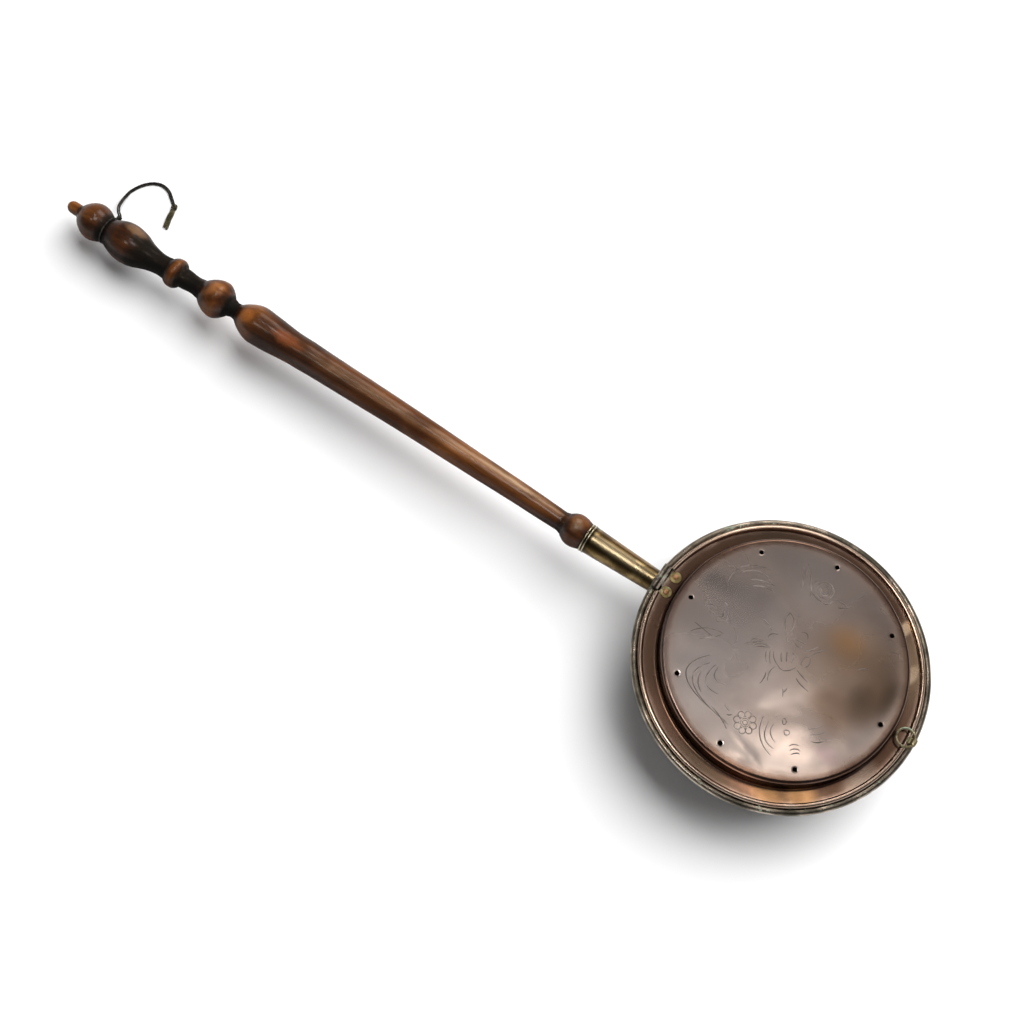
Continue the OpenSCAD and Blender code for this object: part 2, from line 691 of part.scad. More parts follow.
pan_bowl();
pan_rim_wire();
hinge_pan_leaf();
hinge_pin();
socket_plate();
plate_rivets();
socket_tube();
socket_pin();
handle();
lid_shell();
lid_rim_wire();
hinge_lid_leaf();
lid_hinge_roves();
lid_hinge_rivets();
ring_lug();
lifting_ring();
lace_neck_loop();
lace_hitch();
lace_strand_a();
lace_strand_b();
lace_end_knot();
lace_tail_a();
lace_tail_b();
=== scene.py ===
import logging
import math
import random
from dataclasses import dataclass, field
from enum import Enum
from typing import Sequence

import bmesh
import bpy
from mathutils import Matrix, Vector, noise


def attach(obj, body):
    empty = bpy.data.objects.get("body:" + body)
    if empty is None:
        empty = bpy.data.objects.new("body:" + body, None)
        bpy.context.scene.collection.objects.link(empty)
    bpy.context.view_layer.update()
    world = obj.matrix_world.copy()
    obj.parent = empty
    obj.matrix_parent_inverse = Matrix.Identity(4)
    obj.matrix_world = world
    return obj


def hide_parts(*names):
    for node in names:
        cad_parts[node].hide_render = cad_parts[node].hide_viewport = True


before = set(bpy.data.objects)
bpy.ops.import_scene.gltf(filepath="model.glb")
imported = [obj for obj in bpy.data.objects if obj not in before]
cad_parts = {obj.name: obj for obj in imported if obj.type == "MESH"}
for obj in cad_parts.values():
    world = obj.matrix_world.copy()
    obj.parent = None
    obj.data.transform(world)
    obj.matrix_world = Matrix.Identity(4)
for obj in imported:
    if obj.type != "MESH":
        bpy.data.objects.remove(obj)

LOG = logging.getLogger("warming_pan")
MM = 0.001
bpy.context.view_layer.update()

Flat = tuple[float, float]
Colour = tuple[float, float, float]
Place = tuple[float, float, float]
Stops = tuple[tuple[float, Colour], ...]
Chain = list[tuple[Vector, float]]
Material, Piece = bpy.types.Material, bpy.types.Object
Node, Socket, Tree = bpy.types.Node, bpy.types.NodeSocket, bpy.types.NodeTree


# ---- Shapes ----


class Turn(Enum):
    """How a turned radius runs from one end of a turning to the other."""

    BEAD = "bead"
    FALL = "fall"
    COVE = "cove"
    LINE = "line"
    DOME = "dome"

    def share(self, t: float) -> float:
        """Share of the change in radius that is done at a share of the length.

        Args:
            t: Share of the length, 0 to 1.

        Returns:
            Share of the change in radius, 0 to 1.
        """
        if self is Turn.BEAD:
            return 1 - (1 - t) ** 2
        if self is Turn.FALL:
            return t * t
        if self is Turn.COVE:
            return 0.5 - 0.5 * math.cos(math.pi * t)
        if self is Turn.DOME:
            return 1 - math.sqrt(max(0.0, 1 - t * t))
        return t


def around(steps: int) -> list[float]:
    """Angles of points spaced evenly round a circle, in radians."""
    return [math.tau * i / steps for i in range(steps)]


def arc(centre: Flat, radius: float, start: float, stop: float, steps: int) -> list[Flat]:
    """Points on an arc between two angles in degrees, both ends included."""
    angles = [math.radians(start + (stop - start) * i / steps) for i in range(steps + 1)]
    return [(centre[0] + radius * math.cos(a), centre[1] + radius * math.sin(a)) for a in angles]


def stretch(first: Flat, last: Flat, steps: int) -> list[Flat]:
    """Points strictly between two points of an outline, without the two themselves."""
    return [(first[0] + (last[0] - first[0]) * i / steps, first[1] + (last[1] - first[1]) * i / steps)
            for i in range(1, steps)]


def ease(low: float, high: float, value: float) -> float:
    """Smooth step from 0 at low to 1 at high."""
    t = min(1.0, max(0.0, (value - low) / (high - low)))
    return t * t * (3 - 2 * t)


def table_value(stops: Sequence[Flat], at: float) -> float:
    """Value of a table of (place, value) pairs, eased between neighbours.

    Args:
        stops: Pairs in rising order of place.
        at: Place to read.

    Returns:
        The value there.
    """
    for (x0, v0), (x1, v1) in zip(stops, stops[1:]):
        if at <= x1:
            return v0 + (v1 - v0) * ease(x0, x1, at)
    return stops[-1][1]


def through(points: Sequence[Vector], steps: int) -> list[Vector]:
    """A smooth curve through every point.

    Args:
        points: Points of the route.
        steps: Steps from each point to the next.

    Returns:
        Points along the curve.
    """
    last = len(points) - 1
    curve = []
    for i in range(last):
        a, b, c, d = points[max(i - 1, 0)], points[i], points[i + 1], points[min(i + 2, last)]
        for j in range(steps):
            t = j / steps
            curve.append(0.5 * (2 * b + (c - a) * t + (2 * a - 5 * b + 4 * c - d) * t * t
                                + (3 * b - a - 3 * c + d) * t ** 3))
    return curve + [points[last].copy()]


def aside(points: Sequence[Vector], by: float) -> list[Vector]:
    """Moves each point of a route level to its right.

    Args:
        points: Points of the route.
        by: Distance to the right.

    Returns:
        The moved points.
    """
    last = len(points) - 1
    moved = []
    for i, p in enumerate(points):
        ahead = points[min(i + 1, last)] - points[max(i - 1, 0)]
        moved.append(p + by * ahead.cross(Vector((0, 0, 1))).normalized())
    return moved


def route_length(points: Sequence[Vector]) -> float:
    """Length of a route in its own units."""
    return sum((b - a).length for a, b in zip(points, points[1:]))


def mesh_piece(name: str, points: Sequence[Sequence[float]], faces: Sequence[Sequence[int]],
               finish: Material, crease: float = 50) -> Piece:
    """Makes an object of points and faces, in millimetres, with its faces turned outwards.

    Args:
        name: Name of the piece.
        points: Points in millimetres.
        faces: Corner numbers of each face.
        finish: Material of the piece.
        crease: Edges sharper than this angle, in degrees, stay sharp.

    Returns:
        The object, at the origin.
    """
    mesh = bpy.data.meshes.new(name)
    mesh.from_pydata([(p[0] * MM, p[1] * MM, p[2] * MM) for p in points], [], faces)
    return finished(name, mesh, finish, crease)


def finished(name: str, mesh: bpy.types.Mesh, finish: Material | None, crease: float) -> Piece:
    """Turns a mesh's faces outwards, shades it smooth and gives it an object.

    Args:
        name: Name of the piece.
        mesh: Mesh in metres.
        finish: Material, or None where the mesh has it already.
        crease: Edges sharper than this angle, in degrees, stay sharp.

    Returns:
        The object, at the origin.
    """
    work = bmesh.new()
    work.from_mesh(mesh)
    bmesh.ops.recalc_face_normals(work, faces=work.faces)
    work.to_mesh(mesh)
    work.free()
    mesh.polygons.foreach_set("use_smooth", [True] * len(mesh.polygons))
    mesh.set_sharp_from_angle(angle=math.radians(crease))
    if finish is not None:
        mesh.materials.clear()
        mesh.materials.append(finish)
    piece = bpy.data.objects.new(name, mesh)
    bpy.context.scene.collection.objects.link(piece)
    return piece


def ring_faces(rings: int, sides: int, closed: bool = False) -> list[tuple[int, int, int, int]]:
    """Faces between rings of points, each ring closed.

    Args:
        rings: Number of rings.
        sides: Points in a ring.
        closed: True if the last ring joins the first.

    Returns:
        Corner numbers of the faces.
    """
    return [(i * sides + j, i * sides + (j + 1) % sides,
             ((i + 1) % rings) * sides + (j + 1) % sides, ((i + 1) % rings) * sides + j)
            for i in range(rings if closed else rings - 1) for j in range(sides)]


# ---- Node helpers ----


@dataclass
class Wiring:
    """Short calls that add and join the nodes of one tree."""

    tree: Tree

    def add(self, kind: str, **settings: object) -> Node:
        """Adds a node.

        Args:
            kind: Node type.
            **settings: Properties of the node.

        Returns:
            The node.
        """
        node = self.tree.nodes.new(kind)
        for key, value in settings.items():
            setattr(node, key, value)
        return node

    def feed(self, socket: Socket, value: object) -> None:
        """Links a socket into an input, or sets the input to a plain value."""
        if isinstance(value, Socket):
            self.tree.links.new(value, socket)
        else:
            socket.default_value = value

    def join(self, node: Node, **values: object) -> Node:
        """Feeds several inputs of a node.

        Args:
            node: The node.
            **values: Its inputs by name, with _ for each space.

        Returns:
            The node.
        """
        for key, value in values.items():
            self.feed(node.inputs[key.replace("_", " ")], value)
        return node

    def use(self, group: Tree, **values: object) -> Node:
        """Places a shared node group and feeds its inputs."""
        return self.join(self.add("ShaderNodeGroup", node_tree=group), **values)

    def place(self) -> Socket:
        """Coordinates of the piece itself, in metres."""
        return self.add("ShaderNodeTexCoord").outputs["Object"]

    def own(self, name: str) -> Socket:
        """Value that the piece itself carries at each point."""
        return self.add("ShaderNodeAttribute", attribute_name=name).outputs["Fac"]

    def math(self, operation: str, *values: object) -> Socket:
        """Adds a math node and returns its result."""
        node = self.add("ShaderNodeMath", operation=operation)
        for socket, value in zip(node.inputs, values):
            self.feed(socket, value)
        return node.outputs[0]

    def plus(self, one: object, two: object) -> Socket:
        """Sum of two values."""
        return self.math("ADD", one, two)

    def minus(self, one: object, two: object) -> Socket:
        """First value less the second."""
        return self.math("SUBTRACT", one, two)

    def times(self, one: object, two: object) -> Socket:
        """Product of two values."""
        return self.math("MULTIPLY", one, two)

    def swing(self, value: Socket, by: object) -> Socket:
        """Turns a value from 0 to 1 into a swing about 0."""
        return self.times(self.minus(value, 0.5), by)

    def vector(self, operation: str, *values: object) -> Socket:
        """Adds a vector math node and returns its vector, or its number for a length."""
        node = self.add("ShaderNodeVectorMath", operation=operation)
        for socket, value in zip(node.inputs, values):
            self.feed(socket, value)
        return node.outputs["Value" if operation == "LENGTH" else "Vector"]

    def blend(self, mask: object, under: object, over: object, mode: str = "MIX") -> Socket:
        """Lays one colour over another.

        Args:
            mask: How much of the upper colour shows.
            under: Lower colour.
            over: Upper colour.
            mode: Blend type.

        Returns:
            The mixed colour.
        """
        node = self.add("ShaderNodeMix", data_type="RGBA", blend_type=mode)
        for number, value in ((0, mask), (6, under), (7, over)):
            self.feed(node.inputs[number], value if isinstance(value, (Socket, float, int)) else (*value, 1.0))
        return node.outputs[2]

    def ramp(self, value: object, stops: Sequence[tuple[float, Colour]]) -> Socket:
        """Turns a value into a colour.

        Args:
            value: Value from 0 to 1.
            stops: Places and colours in rising order.

        Returns:
            The colour.
        """
        node = self.add("ShaderNodeValToRGB")
        points = node.color_ramp.elements
        while len(points) < len(stops):
            points.new(0.5)
        for point, (place, colour) in zip(points, stops):
            point.position = place
            point.color = (*colour, 1.0)
        self.feed(node.inputs[0], value)
        return node.outputs[0]

    def span(self, value: object, low: object, high: object, to_low: object = 0.0, to_high: object = 1.0) -> Socket:
        """Maps a range of a value smoothly to another range.

        Args:
            value: Value to map.
            low: Value that gives to_low.
            high: Value that gives to_high.
            to_low: Result at and below low.
            to_high: Result at and above high.

        Returns:
            The mapped value.
        """
        node = self.add("ShaderNodeMapRange", interpolation_type="SMOOTHSTEP")
        for socket, item in zip(node.inputs, (value, low, high, to_low, to_high)):
            self.feed(socket, item)
        return node.outputs[0]

    def noise(self, where: object, scale: object, detail: float, roughness: float = 0.55,
              distortion: float = 0) -> Socket:
        """Noise from 0 to 1 at a place; detail is its octaves and distortion its warp."""
        return self.join(self.add("ShaderNodeTexNoise"), Vector=where, Scale=scale, Detail=detail,
                         Roughness=roughness, Distortion=distortion).outputs[0]

    def placed(self, where: object, turn: Place = (0, 0, 0), scale: Place = (1, 1, 1)) -> Socket:
        """Turns a pattern's coordinates, by angles in degrees, and stretches them."""
        return self.join(self.add("ShaderNodeMapping", vector_type="POINT"), Vector=where,
                         Rotation=[math.radians(a) for a in turn], Scale=scale).outputs[0]


def new_tree(name: str, kind: str, takes: Sequence[tuple[str, str, object]], gives: Sequence[tuple[str, str]]
             ) -> tuple[Wiring, list[Socket], list[Socket]]:
    """Makes a node tree with named inputs and outputs.

    Args:
        name: Name of the tree.
        kind: Tree type.
        takes: Name, kind and default of each input.
        gives: Name and kind of each output.

    Returns:
        The wiring, the sockets that carry the inputs and the sockets that take the outputs.
    """
    tree = bpy.data.node_groups.new(name, kind)
    for label, socket_kind, default in takes:
        socket = tree.interface.new_socket(label, in_out="INPUT", socket_type="NodeSocket" + socket_kind)
        if default is not None:
            socket.default_value = default
    for label, socket_kind in gives:
        tree.interface.new_socket(label, in_out="OUTPUT", socket_type="NodeSocket" + socket_kind)
    wiring = Wiring(tree)
    take, give = wiring.add("NodeGroupInput"), wiring.add("NodeGroupOutput")
    return wiring, list(take.outputs)[:len(takes)], list(give.inputs)[:len(gives)]


# ---- Shared surface effects ----


@dataclass
class Effects:
    """Shader groups that more than one finish uses."""

    colour_patch: Tree = field(init=False)
    tarnish: Tree = field(init=False)
    hairlines: Tree = field(init=False)
    verdigris: Tree = field(init=False)
    grain: Tree = field(init=False)

    def __post_init__(self) -> None:
        """Builds each group once."""
        self.colour_patch = self.make_colour_patch()
        self.tarnish = self.make_tarnish()
        self.hairlines = self.make_hairlines()
        self.verdigris = self.make_verdigris()
        self.grain = self.make_grain()

    @staticmethod
    def make_colour_patch() -> Tree:
        """Mask of a soft patch with a ragged edge, at a place on the piece.

        Returns:
            The group.
        """
        w, (place, centre, size, soft, ragged, grit), (mask,) = new_tree("colour_patch_mask", "ShaderNodeTree", [
            ("Vector", "Vector", None), ("Centre", "Vector", None), ("Size", "Vector", (0.02, 0.02, 0.02)),
            ("Softness", "Float", 0.6), ("Ragged", "Float", 0.5), ("Grit", "Float", 60.0)], [("Mask", "Float")])
        away = w.vector("LENGTH", w.vector("DIVIDE", w.vector("SUBTRACT", place, centre), size))
        edge = w.plus(away, w.swing(w.noise(place, grit, 2.5, 0.5), ragged))
        w.feed(mask, w.span(edge, w.minus(1.0, soft), 1.0, 1.0, 0.0))
        return w.tree

    @staticmethod
    def make_tarnish() -> Tree:
        """Cloudy change of tone over old metal, with fine specks.

        Returns:
            The group.
        """
        w, (place, scale, specks), (tone,) = new_tree("tarnish_clouds", "ShaderNodeTree", [
            ("Vector", "Vector", None), ("Scale", "Float", 18.0), ("Specks", "Float", 0.25)], [("Tone", "Float")])
        wide = w.noise(place, scale, 2.5, 0.5, 0.8)
        fine = w.noise(place, w.times(scale, 22.0), 3, 0.6)
        w.feed(tone, w.span(w.plus(wide, w.swing(fine, specks)), 0.3, 0.7))
        return w.tree

    @staticmethod
    def make_hairlines() -> Tree:
        """Fine rubbing scratches that run in two directions.

        Returns:
            The group.
        """
        w, (place, scale, amount), (mask,) = new_tree("hairline_scratches", "ShaderNodeTree", [
            ("Vector", "Vector", None), ("Scale", "Float", 90.0), ("Amount", "Float", 0.5)], [("Mask", "Float")])
        lines = []
        for turn, long in ((28, 24), (-57, 30)):
            where = w.placed(place, turn=(0, 0, turn), scale=(1, long, 8))
            lines.append(w.span(w.noise(where, scale, 3, 0.7, 0.3), 0.6, 0.72))
        w.feed(mask, w.times(w.math("MAXIMUM", *lines), amount))
        return w.tree

    @staticmethod
    def make_verdigris() -> Tree:
        """Flecks of green bloom that gather where a mask lets them.

        Returns:
            The group.
        """
        w, (place, scale, amount), (mask, colour) = new_tree("verdigris_flecks", "ShaderNodeTree", [
            ("Vector", "Vector", None), ("Scale", "Float", 260.0), ("Amount", "Float", 0.5)],
            [("Mask", "Float"), ("Colour", "Color")])
        flecks = w.times(w.noise(place, scale, 5, 0.65, 0.6), w.plus(w.noise(place, w.times(scale, 0.16), 3), 0.5))
        low = w.minus(0.72, w.times(amount, 0.45))
        w.feed(mask, w.span(flecks, low, w.plus(low, 0.12)))
        tone = w.noise(place, w.times(scale, 2.2), 3)
        w.feed(colour, w.ramp(tone, [(0.3, (0.08, 0.1, 0.065)), (0.5, (0.2, 0.26, 0.18)), (0.7, (0.42, 0.5, 0.39))]))
        return w.tree

    @staticmethod
    def make_grain() -> Tree:
        """Long wood grain along X, with pores.

        Returns:
            The group.
        """
        w, (place, scale), (streaks, pores) = new_tree("wood_grain", "ShaderNodeTree", [
            ("Vector", "Vector", None), ("Scale", "Float", 60.0)], [("Streaks", "Float"), ("Pores", "Float")])
        long = w.noise(w.placed(place, scale=(0.07, 1, 1)), scale, 6, 0.6, 1.2)
        w.feed(streaks, w.span(long, 0.3, 0.7))
        short = w.noise(w.placed(place, scale=(0.05, 1, 1)), w.times(scale, 14.0), 2)
        w.feed(pores, w.span(short, 0.58, 0.72))
        return w.tree


# ---- Finishes ----


@dataclass(frozen=True)
class ColourPatch:
    """A patch of another colour at a place on the piece, in millimetres; some are stains and some are painted light.
    """

    at: Place
    size: Place
    colour: Colour
    strength: float
    softness: float
    ragged: float
    grit: float


def patched(w: Wiring, effects: Effects, where: Socket, colour: Socket, patches: Sequence[ColourPatch]) -> Socket:
    """Lays patches of colour over a colour, the first one lowest.

    Args:
        w: The material's wiring.
        effects: Shared shader groups.
        where: Coordinates of the piece.
        colour: Colour under the patches.
        patches: The patches.

    Returns:
        The colour with its patches.
    """
    for colour_patch in patches:
        mask = w.use(effects.colour_patch, Vector=where, Centre=[c * MM for c in colour_patch.at],
                     Size=[c * MM for c in colour_patch.size], Softness=colour_patch.softness, Ragged=colour_patch.ragged,
                     Grit=colour_patch.grit).outputs[0]
        colour = w.blend(w.times(mask, colour_patch.strength), colour, colour_patch.colour)
    return colour


def plain_material(name: str) -> tuple[Material, Wiring, Node]:
    """Starts a material.

    Args:
        name: Name of the material.

    Returns:
        The material, its wiring and its Principled shader.
    """
    material = bpy.data.materials.new(name)
    material.use_nodes = True
    w = Wiring(material.node_tree)
    w.tree.nodes.clear()
    surface = w.add("ShaderNodeBsdfPrincipled")
    w.join(w.add("ShaderNodeOutputMaterial"), Surface=surface.outputs[0])
    return material, w, surface


def bump(w: Wiring, surface: Node, height: Socket, strength: float, distance: float) -> None:
    """Feeds a height from 0 to 1 to the shader's normal; 1 stands for the distance in metres."""
    node = w.join(w.add("ShaderNodeBump"), Strength=strength, Distance=distance, Height=height)
    w.join(surface, Normal=node.outputs[0])


@dataclass(frozen=True)
class MetalFinish:
    """Old metal: clouds of tarnish, placed patches of colour, green bloom, scratches and small dents; where given, its
    tints by radius paint shade and highlights, and some patches are painted light.
    """

    name: str
    tones: Stops
    roughness: Flat
    cloud_scale: float
    dents: float
    dent_scale: float = 55.0
    metallic: float = 1.0
    specks: float = 0.25
    rings: Stops = ()
    patches: tuple[ColourPatch, ...] = ()
    green: float = 0.0
    green_scale: float = 260.0
    scratches: float = 0.4
    worn: bool = False
    ring_reach: float = 160.0
    hollow_tone: Colour = (0.03, 0.022, 0.01)
    crest_tone: Colour = (0.62, 0.57, 0.42)
    scratch_tone: Colour = (0.6, 0.5, 0.44)
    grit_finer: float = 30.0
    grit_height: float = 0.001
    scratch_depth: float = 0.01

    def make(self, effects: Effects) -> Material:
        """Builds the material.

        Args:
            effects: Shared shader groups.

        Returns:
            The material.
        """
        material, w, surface = plain_material(self.name)
        where = w.place()
        tone = w.use(effects.tarnish, Vector=where, Scale=self.cloud_scale, Specks=self.specks).outputs[0]
        colour = w.ramp(tone, self.tones)
        rough = w.span(tone, 0.0, 1.0, self.roughness[1], self.roughness[0])
        # Tints by radius paint light: on the lid, shade on the step and a highlight on the rolled edge; on the pan, a
        # brighter rolled edge.
        if self.rings:
            away = w.vector("LENGTH", w.vector("MULTIPLY", where, (1, 1, 0)))
            ragged = w.plus(away, w.swing(w.noise(where, 60.0, 4), 0.005))
            tint = w.ramp(w.math("DIVIDE", ragged, self.ring_reach * MM),
                          [(r / self.ring_reach, c) for r, c in self.rings])
            colour = w.blend(1.0, colour, tint, "MULTIPLY")
        colour = patched(w, effects, where, colour, self.patches)
        if self.worn:
            crest = w.own("worn")
            colour = w.blend(w.span(crest, 0.0, -1.0), colour, self.hollow_tone)
            colour = w.blend(w.span(crest, 0.0, 1.0), colour, self.crest_tone)
        lines = w.use(effects.hairlines, Vector=where, Amount=self.scratches).outputs[0]
        colour = w.blend(w.times(lines, 0.3), colour, self.scratch_tone)
        rough = w.plus(rough, w.times(lines, 0.12))
        metal: object = self.metallic
        if self.green > 0:
            bloom = w.use(effects.verdigris, Vector=where, Scale=self.green_scale, Amount=self.green)
            colour = w.blend(bloom.outputs[0], colour, bloom.outputs[1])
            rough = w.math("MAXIMUM", rough, w.times(bloom.outputs[0], 0.75))
            metal = w.times(w.minus(1.0, bloom.outputs[0]), self.metallic)
        w.join(surface, Base_Color=colour, Roughness=rough, Metallic=metal)
        fine = w.noise(where, self.dent_scale * self.grit_finer, 3)
        height = w.minus(w.plus(w.noise(where, self.dent_scale, 2, 0.4), w.times(fine, self.grit_height)),
                         w.times(lines, self.scratch_depth))
        bump(w, surface, height, 1.0, self.dents * MM)
        return material


@dataclass(frozen=True)
class WoodFinish:
    """Turned wood under old polish: dull and black in the hollows, brown and glossy on the crowns."""

    name: str
    slope: float
    patches: tuple[ColourPatch, ...]
    tones: Stops = ((0.0, (0.007, 0.006, 0.005)), (0.18, (0.013, 0.008, 0.005)), (0.4, (0.030, 0.011, 0.005)),
                    (0.62, (0.072, 0.023, 0.006)), (0.82, (0.14, 0.047, 0.011)), (1.0, (0.26, 0.1, 0.03)))
    # colour of the painted sheen band, which stands in for a lamp's broad highlight along the top of the shaft
    painted_sheen_tone: Colour = (0.38, 0.235, 0.125)
    pore_tone: Colour = (0.012, 0.008, 0.005)

    def make(self, effects: Effects) -> Material:
        """Builds the material, which reads the piece's own tone (with painted shade in it), painted sheen and polish
        values.

        Args:
            effects: Shared shader groups.

        Returns:
            The material.
        """
        material, w, surface = plain_material(self.name)
        where = w.placed(w.place(), turn=(0, -self.slope, 0))
        tone = w.own("tone")
        streaks, pores = w.use(effects.grain, Vector=where, Scale=70.0).outputs
        clouds = w.use(effects.tarnish, Vector=w.placed(where, scale=(0.35, 1, 1)), Scale=34.0, Specks=0.2).outputs[0]
        mixed = w.plus(w.plus(tone, w.swing(streaks, 0.22)), w.swing(clouds, 0.26))
        colour = patched(w, effects, where, w.ramp(mixed, self.tones), self.patches)
        # Painted sheen: the pale band that the piece carries is laid over the colour as a highlight.
        colour = w.blend(w.times(w.own("bare"), w.span(clouds, -0.3, 0.9)), colour, self.painted_sheen_tone)
        colour = w.blend(w.times(pores, 0.5), colour, self.pore_tone)
        lines = w.use(effects.hairlines, Vector=where, Scale=120.0, Amount=0.5).outputs[0]
        shine = w.span(mixed, 0.02, 0.4)
        rough = w.plus(w.span(shine, 0.0, 1.0, 0.62, 0.34), w.times(lines, 0.15))
        coat = w.times(w.times(shine, w.own("polish")), w.span(clouds, 0.1, 0.7, 0.1, 0.26))
        w.join(surface, Base_Color=colour, Roughness=rough, Specular_IOR_Level=0.04, Coat_Weight=coat,
               Coat_Roughness=0.2, Coat_IOR=1.8)
        height = w.minus(w.times(clouds, 0.5), w.plus(w.times(pores, 0.25), w.times(lines, 0.2)))
        bump(w, surface, height, 0.9, 0.12 * MM)
        return material


@dataclass(frozen=True)
class LaceFinish:
    """Old dull lace, darker in its lay and dusty on its crowns."""

    name: str
    tones: Stops

    def make(self, effects: Effects) -> Material:
        """Builds the material.

        Args:
            effects: Shared shader groups.

        Returns:
            The material.
        """
        material, w, surface = plain_material(self.name)
        where = w.place()
        tone = w.use(effects.tarnish, Vector=where, Scale=160.0, Specks=0.5).outputs[0]
        w.join(surface, Base_Color=w.ramp(tone, self.tones), Roughness=w.span(tone, 0.0, 1.0, 0.6, 0.8),
               Specular_IOR_Level=0.35)
        bump(w, surface, w.noise(where, 1800.0, 3, 0.6), 0.8, 0.1 * MM)
        return material


@dataclass
class Palette:
    """Every finish of the warming pan, built once."""

    effects: Effects
    slope: float
    lid: Material = field(init=False)
    pan: Material = field(init=False)
    socket: Material = field(init=False)
    plate: Material = field(init=False)
    hinge: Material = field(init=False)
    rove: Material = field(init=False)
    rivet: Material = field(init=False)
    ring: Material = field(init=False)
    iron: Material = field(init=False)
    engraved: Material = field(init=False)
    burr: Material = field(init=False)
    wood: Material = field(init=False)
    lace: Material = field(init=False)
    frayed: Material = field(init=False)

    def __post_init__(self) -> None:
        """Builds the finishes."""
        make = self.effects
        self.lid = MetalFinish(
            "aged_copper_lid",
            ((0.0, (0.30, 0.24, 0.215)), (0.35, (0.37, 0.30, 0.27)), (0.65, (0.41, 0.34, 0.31)),
             (1.0, (0.47, 0.395, 0.36))),
            roughness=(0.19, 0.28), cloud_scale=11.0, rings=self.lid_painted_light_rings(), patches=self.lid_tarnish_and_painted_light(),
            specks=0.0, scratches=0.06, dents=0.28, dent_scale=20.0).make(make)
        self.pan = MetalFinish(
            "aged_copper_pan",
            ((0.0, (0.09, 0.08, 0.062)), (0.4, (0.19, 0.165, 0.13)), (0.7, (0.29, 0.24, 0.19)),
             (1.0, (0.42, 0.36, 0.29))),
            # Painted highlight: inside 147.5 mm the bowl is tinted down to about a third, so the rolled edge stays
            # brighter than the rest.
            rings=((0, (0.38, 0.34, 0.32)), (147.5, (0.36, 0.32, 0.3)), (149.5, (1, 1, 1))),
            roughness=(0.26, 0.42), cloud_scale=26.0, specks=0.4, green=0.14, green_scale=190.0,
            scratches=0.4, dents=0.5, dent_scale=30.0).make(make)
        self.socket = MetalFinish(
            "worn_brass_socket",
            ((0.0, (0.06, 0.038, 0.015)), (0.4, (0.11, 0.072, 0.028)), (0.7, (0.16, 0.108, 0.046)),
             (1.0, (0.22, 0.155, 0.07))),
            roughness=(0.25, 0.33), cloud_scale=46.0, specks=0.3, scratches=0.1, dents=0.03,
            dent_scale=60.0, patches=self.socket_painted_light(), worn=True).make(make)
        self.plate = MetalFinish(
            "dull_brass_plate", ((0.0, (0.07, 0.055, 0.03)), (0.5, (0.15, 0.11, 0.055)), (1.0, (0.26, 0.19, 0.09))),
            roughness=(0.35, 0.5), cloud_scale=60.0, specks=0.5, green=0.4, dents=0.3).make(make)
        self.hinge = MetalFinish(
            "greyed_hinge_brass",
            ((0.0, (0.13, 0.11, 0.09)), (0.5, (0.24, 0.205, 0.17)), (1.0, (0.4, 0.35, 0.29))),
            roughness=(0.34, 0.5), cloud_scale=120.0, specks=0.6, green=0.15, green_scale=420.0, dents=0.2,
            dent_scale=220.0).make(make)
        self.rove = MetalFinish(
            "olive_brass_rove", ((0.0, (0.16, 0.125, 0.05)), (0.5, (0.27, 0.21, 0.09)), (1.0, (0.38, 0.3, 0.14))),
            roughness=(0.46, 0.6), cloud_scale=150.0, green=0.3, green_scale=420.0, dents=0.2,
            dent_scale=300.0).make(make)
        self.rivet = MetalFinish(
            "clenched_copper_rivet", ((0.0, (0.24, 0.12, 0.06)), (0.5, (0.38, 0.19, 0.1)), (1.0, (0.5, 0.26, 0.15))),
            roughness=(0.44, 0.58), cloud_scale=260.0, dents=0.15, dent_scale=400.0).make(make)
        self.ring = MetalFinish(
            "dark_brass_ring", ((0.0, (0.2, 0.17, 0.09)), (0.5, (0.42, 0.36, 0.21)), (1.0, (0.62, 0.54, 0.34))),
            roughness=(0.26, 0.44), cloud_scale=140.0, specks=0.4, green=0.36, green_scale=420.0, dents=0.2,
            dent_scale=260.0, patches=(ColourPatch((-138, -12, 85), (8, 8, 6), (0.42, 0.55, 0.42), 0.7, 0.6, 1.0, 260.0),)
        ).make(make)
        self.iron = MetalFinish(
            "dark_iron_wire", ((0.0, (0.025, 0.02, 0.017)), (0.6, (0.07, 0.06, 0.05)), (1.0, (0.14, 0.12, 0.1))),
            roughness=(0.42, 0.65), cloud_scale=160.0, specks=0.7, metallic=0.8, dents=0.2).make(make)
        self.engraved = MetalFinish(
            "dark_engraved_line",
            ((0.0, (0.08, 0.063, 0.053)), (0.5, (0.14, 0.112, 0.097)), (1.0, (0.24, 0.2, 0.18))),
            roughness=(0.5, 0.65), cloud_scale=70.0, specks=0.5, metallic=0.25, dents=0.02).make(make)
        self.burr = MetalFinish(
            "sooty_hole_edge", ((0.0, (0.02, 0.014, 0.01)), (1.0, (0.08, 0.055, 0.04))),
            roughness=(0.45, 0.6), cloud_scale=200.0, metallic=0.7, dents=0.02).make(make)
        self.wood = WoodFinish("polished_turned_wood", self.slope, self.wood_stains_and_painted_highlight()).make(make)
        self.lace = LaceFinish(
            "old_black_lace",
            ((0.0, (0.006, 0.005, 0.004)), (0.6, (0.016, 0.013, 0.010)), (1.0, (0.04, 0.033, 0.024)))
        ).make(make)
        self.frayed = LaceFinish(
            "frayed_olive_lace", ((0.0, (0.018, 0.015, 0.007)), (0.6, (0.05, 0.042, 0.02)), (1.0, (0.11, 0.09, 0.045)))
        ).make(make)

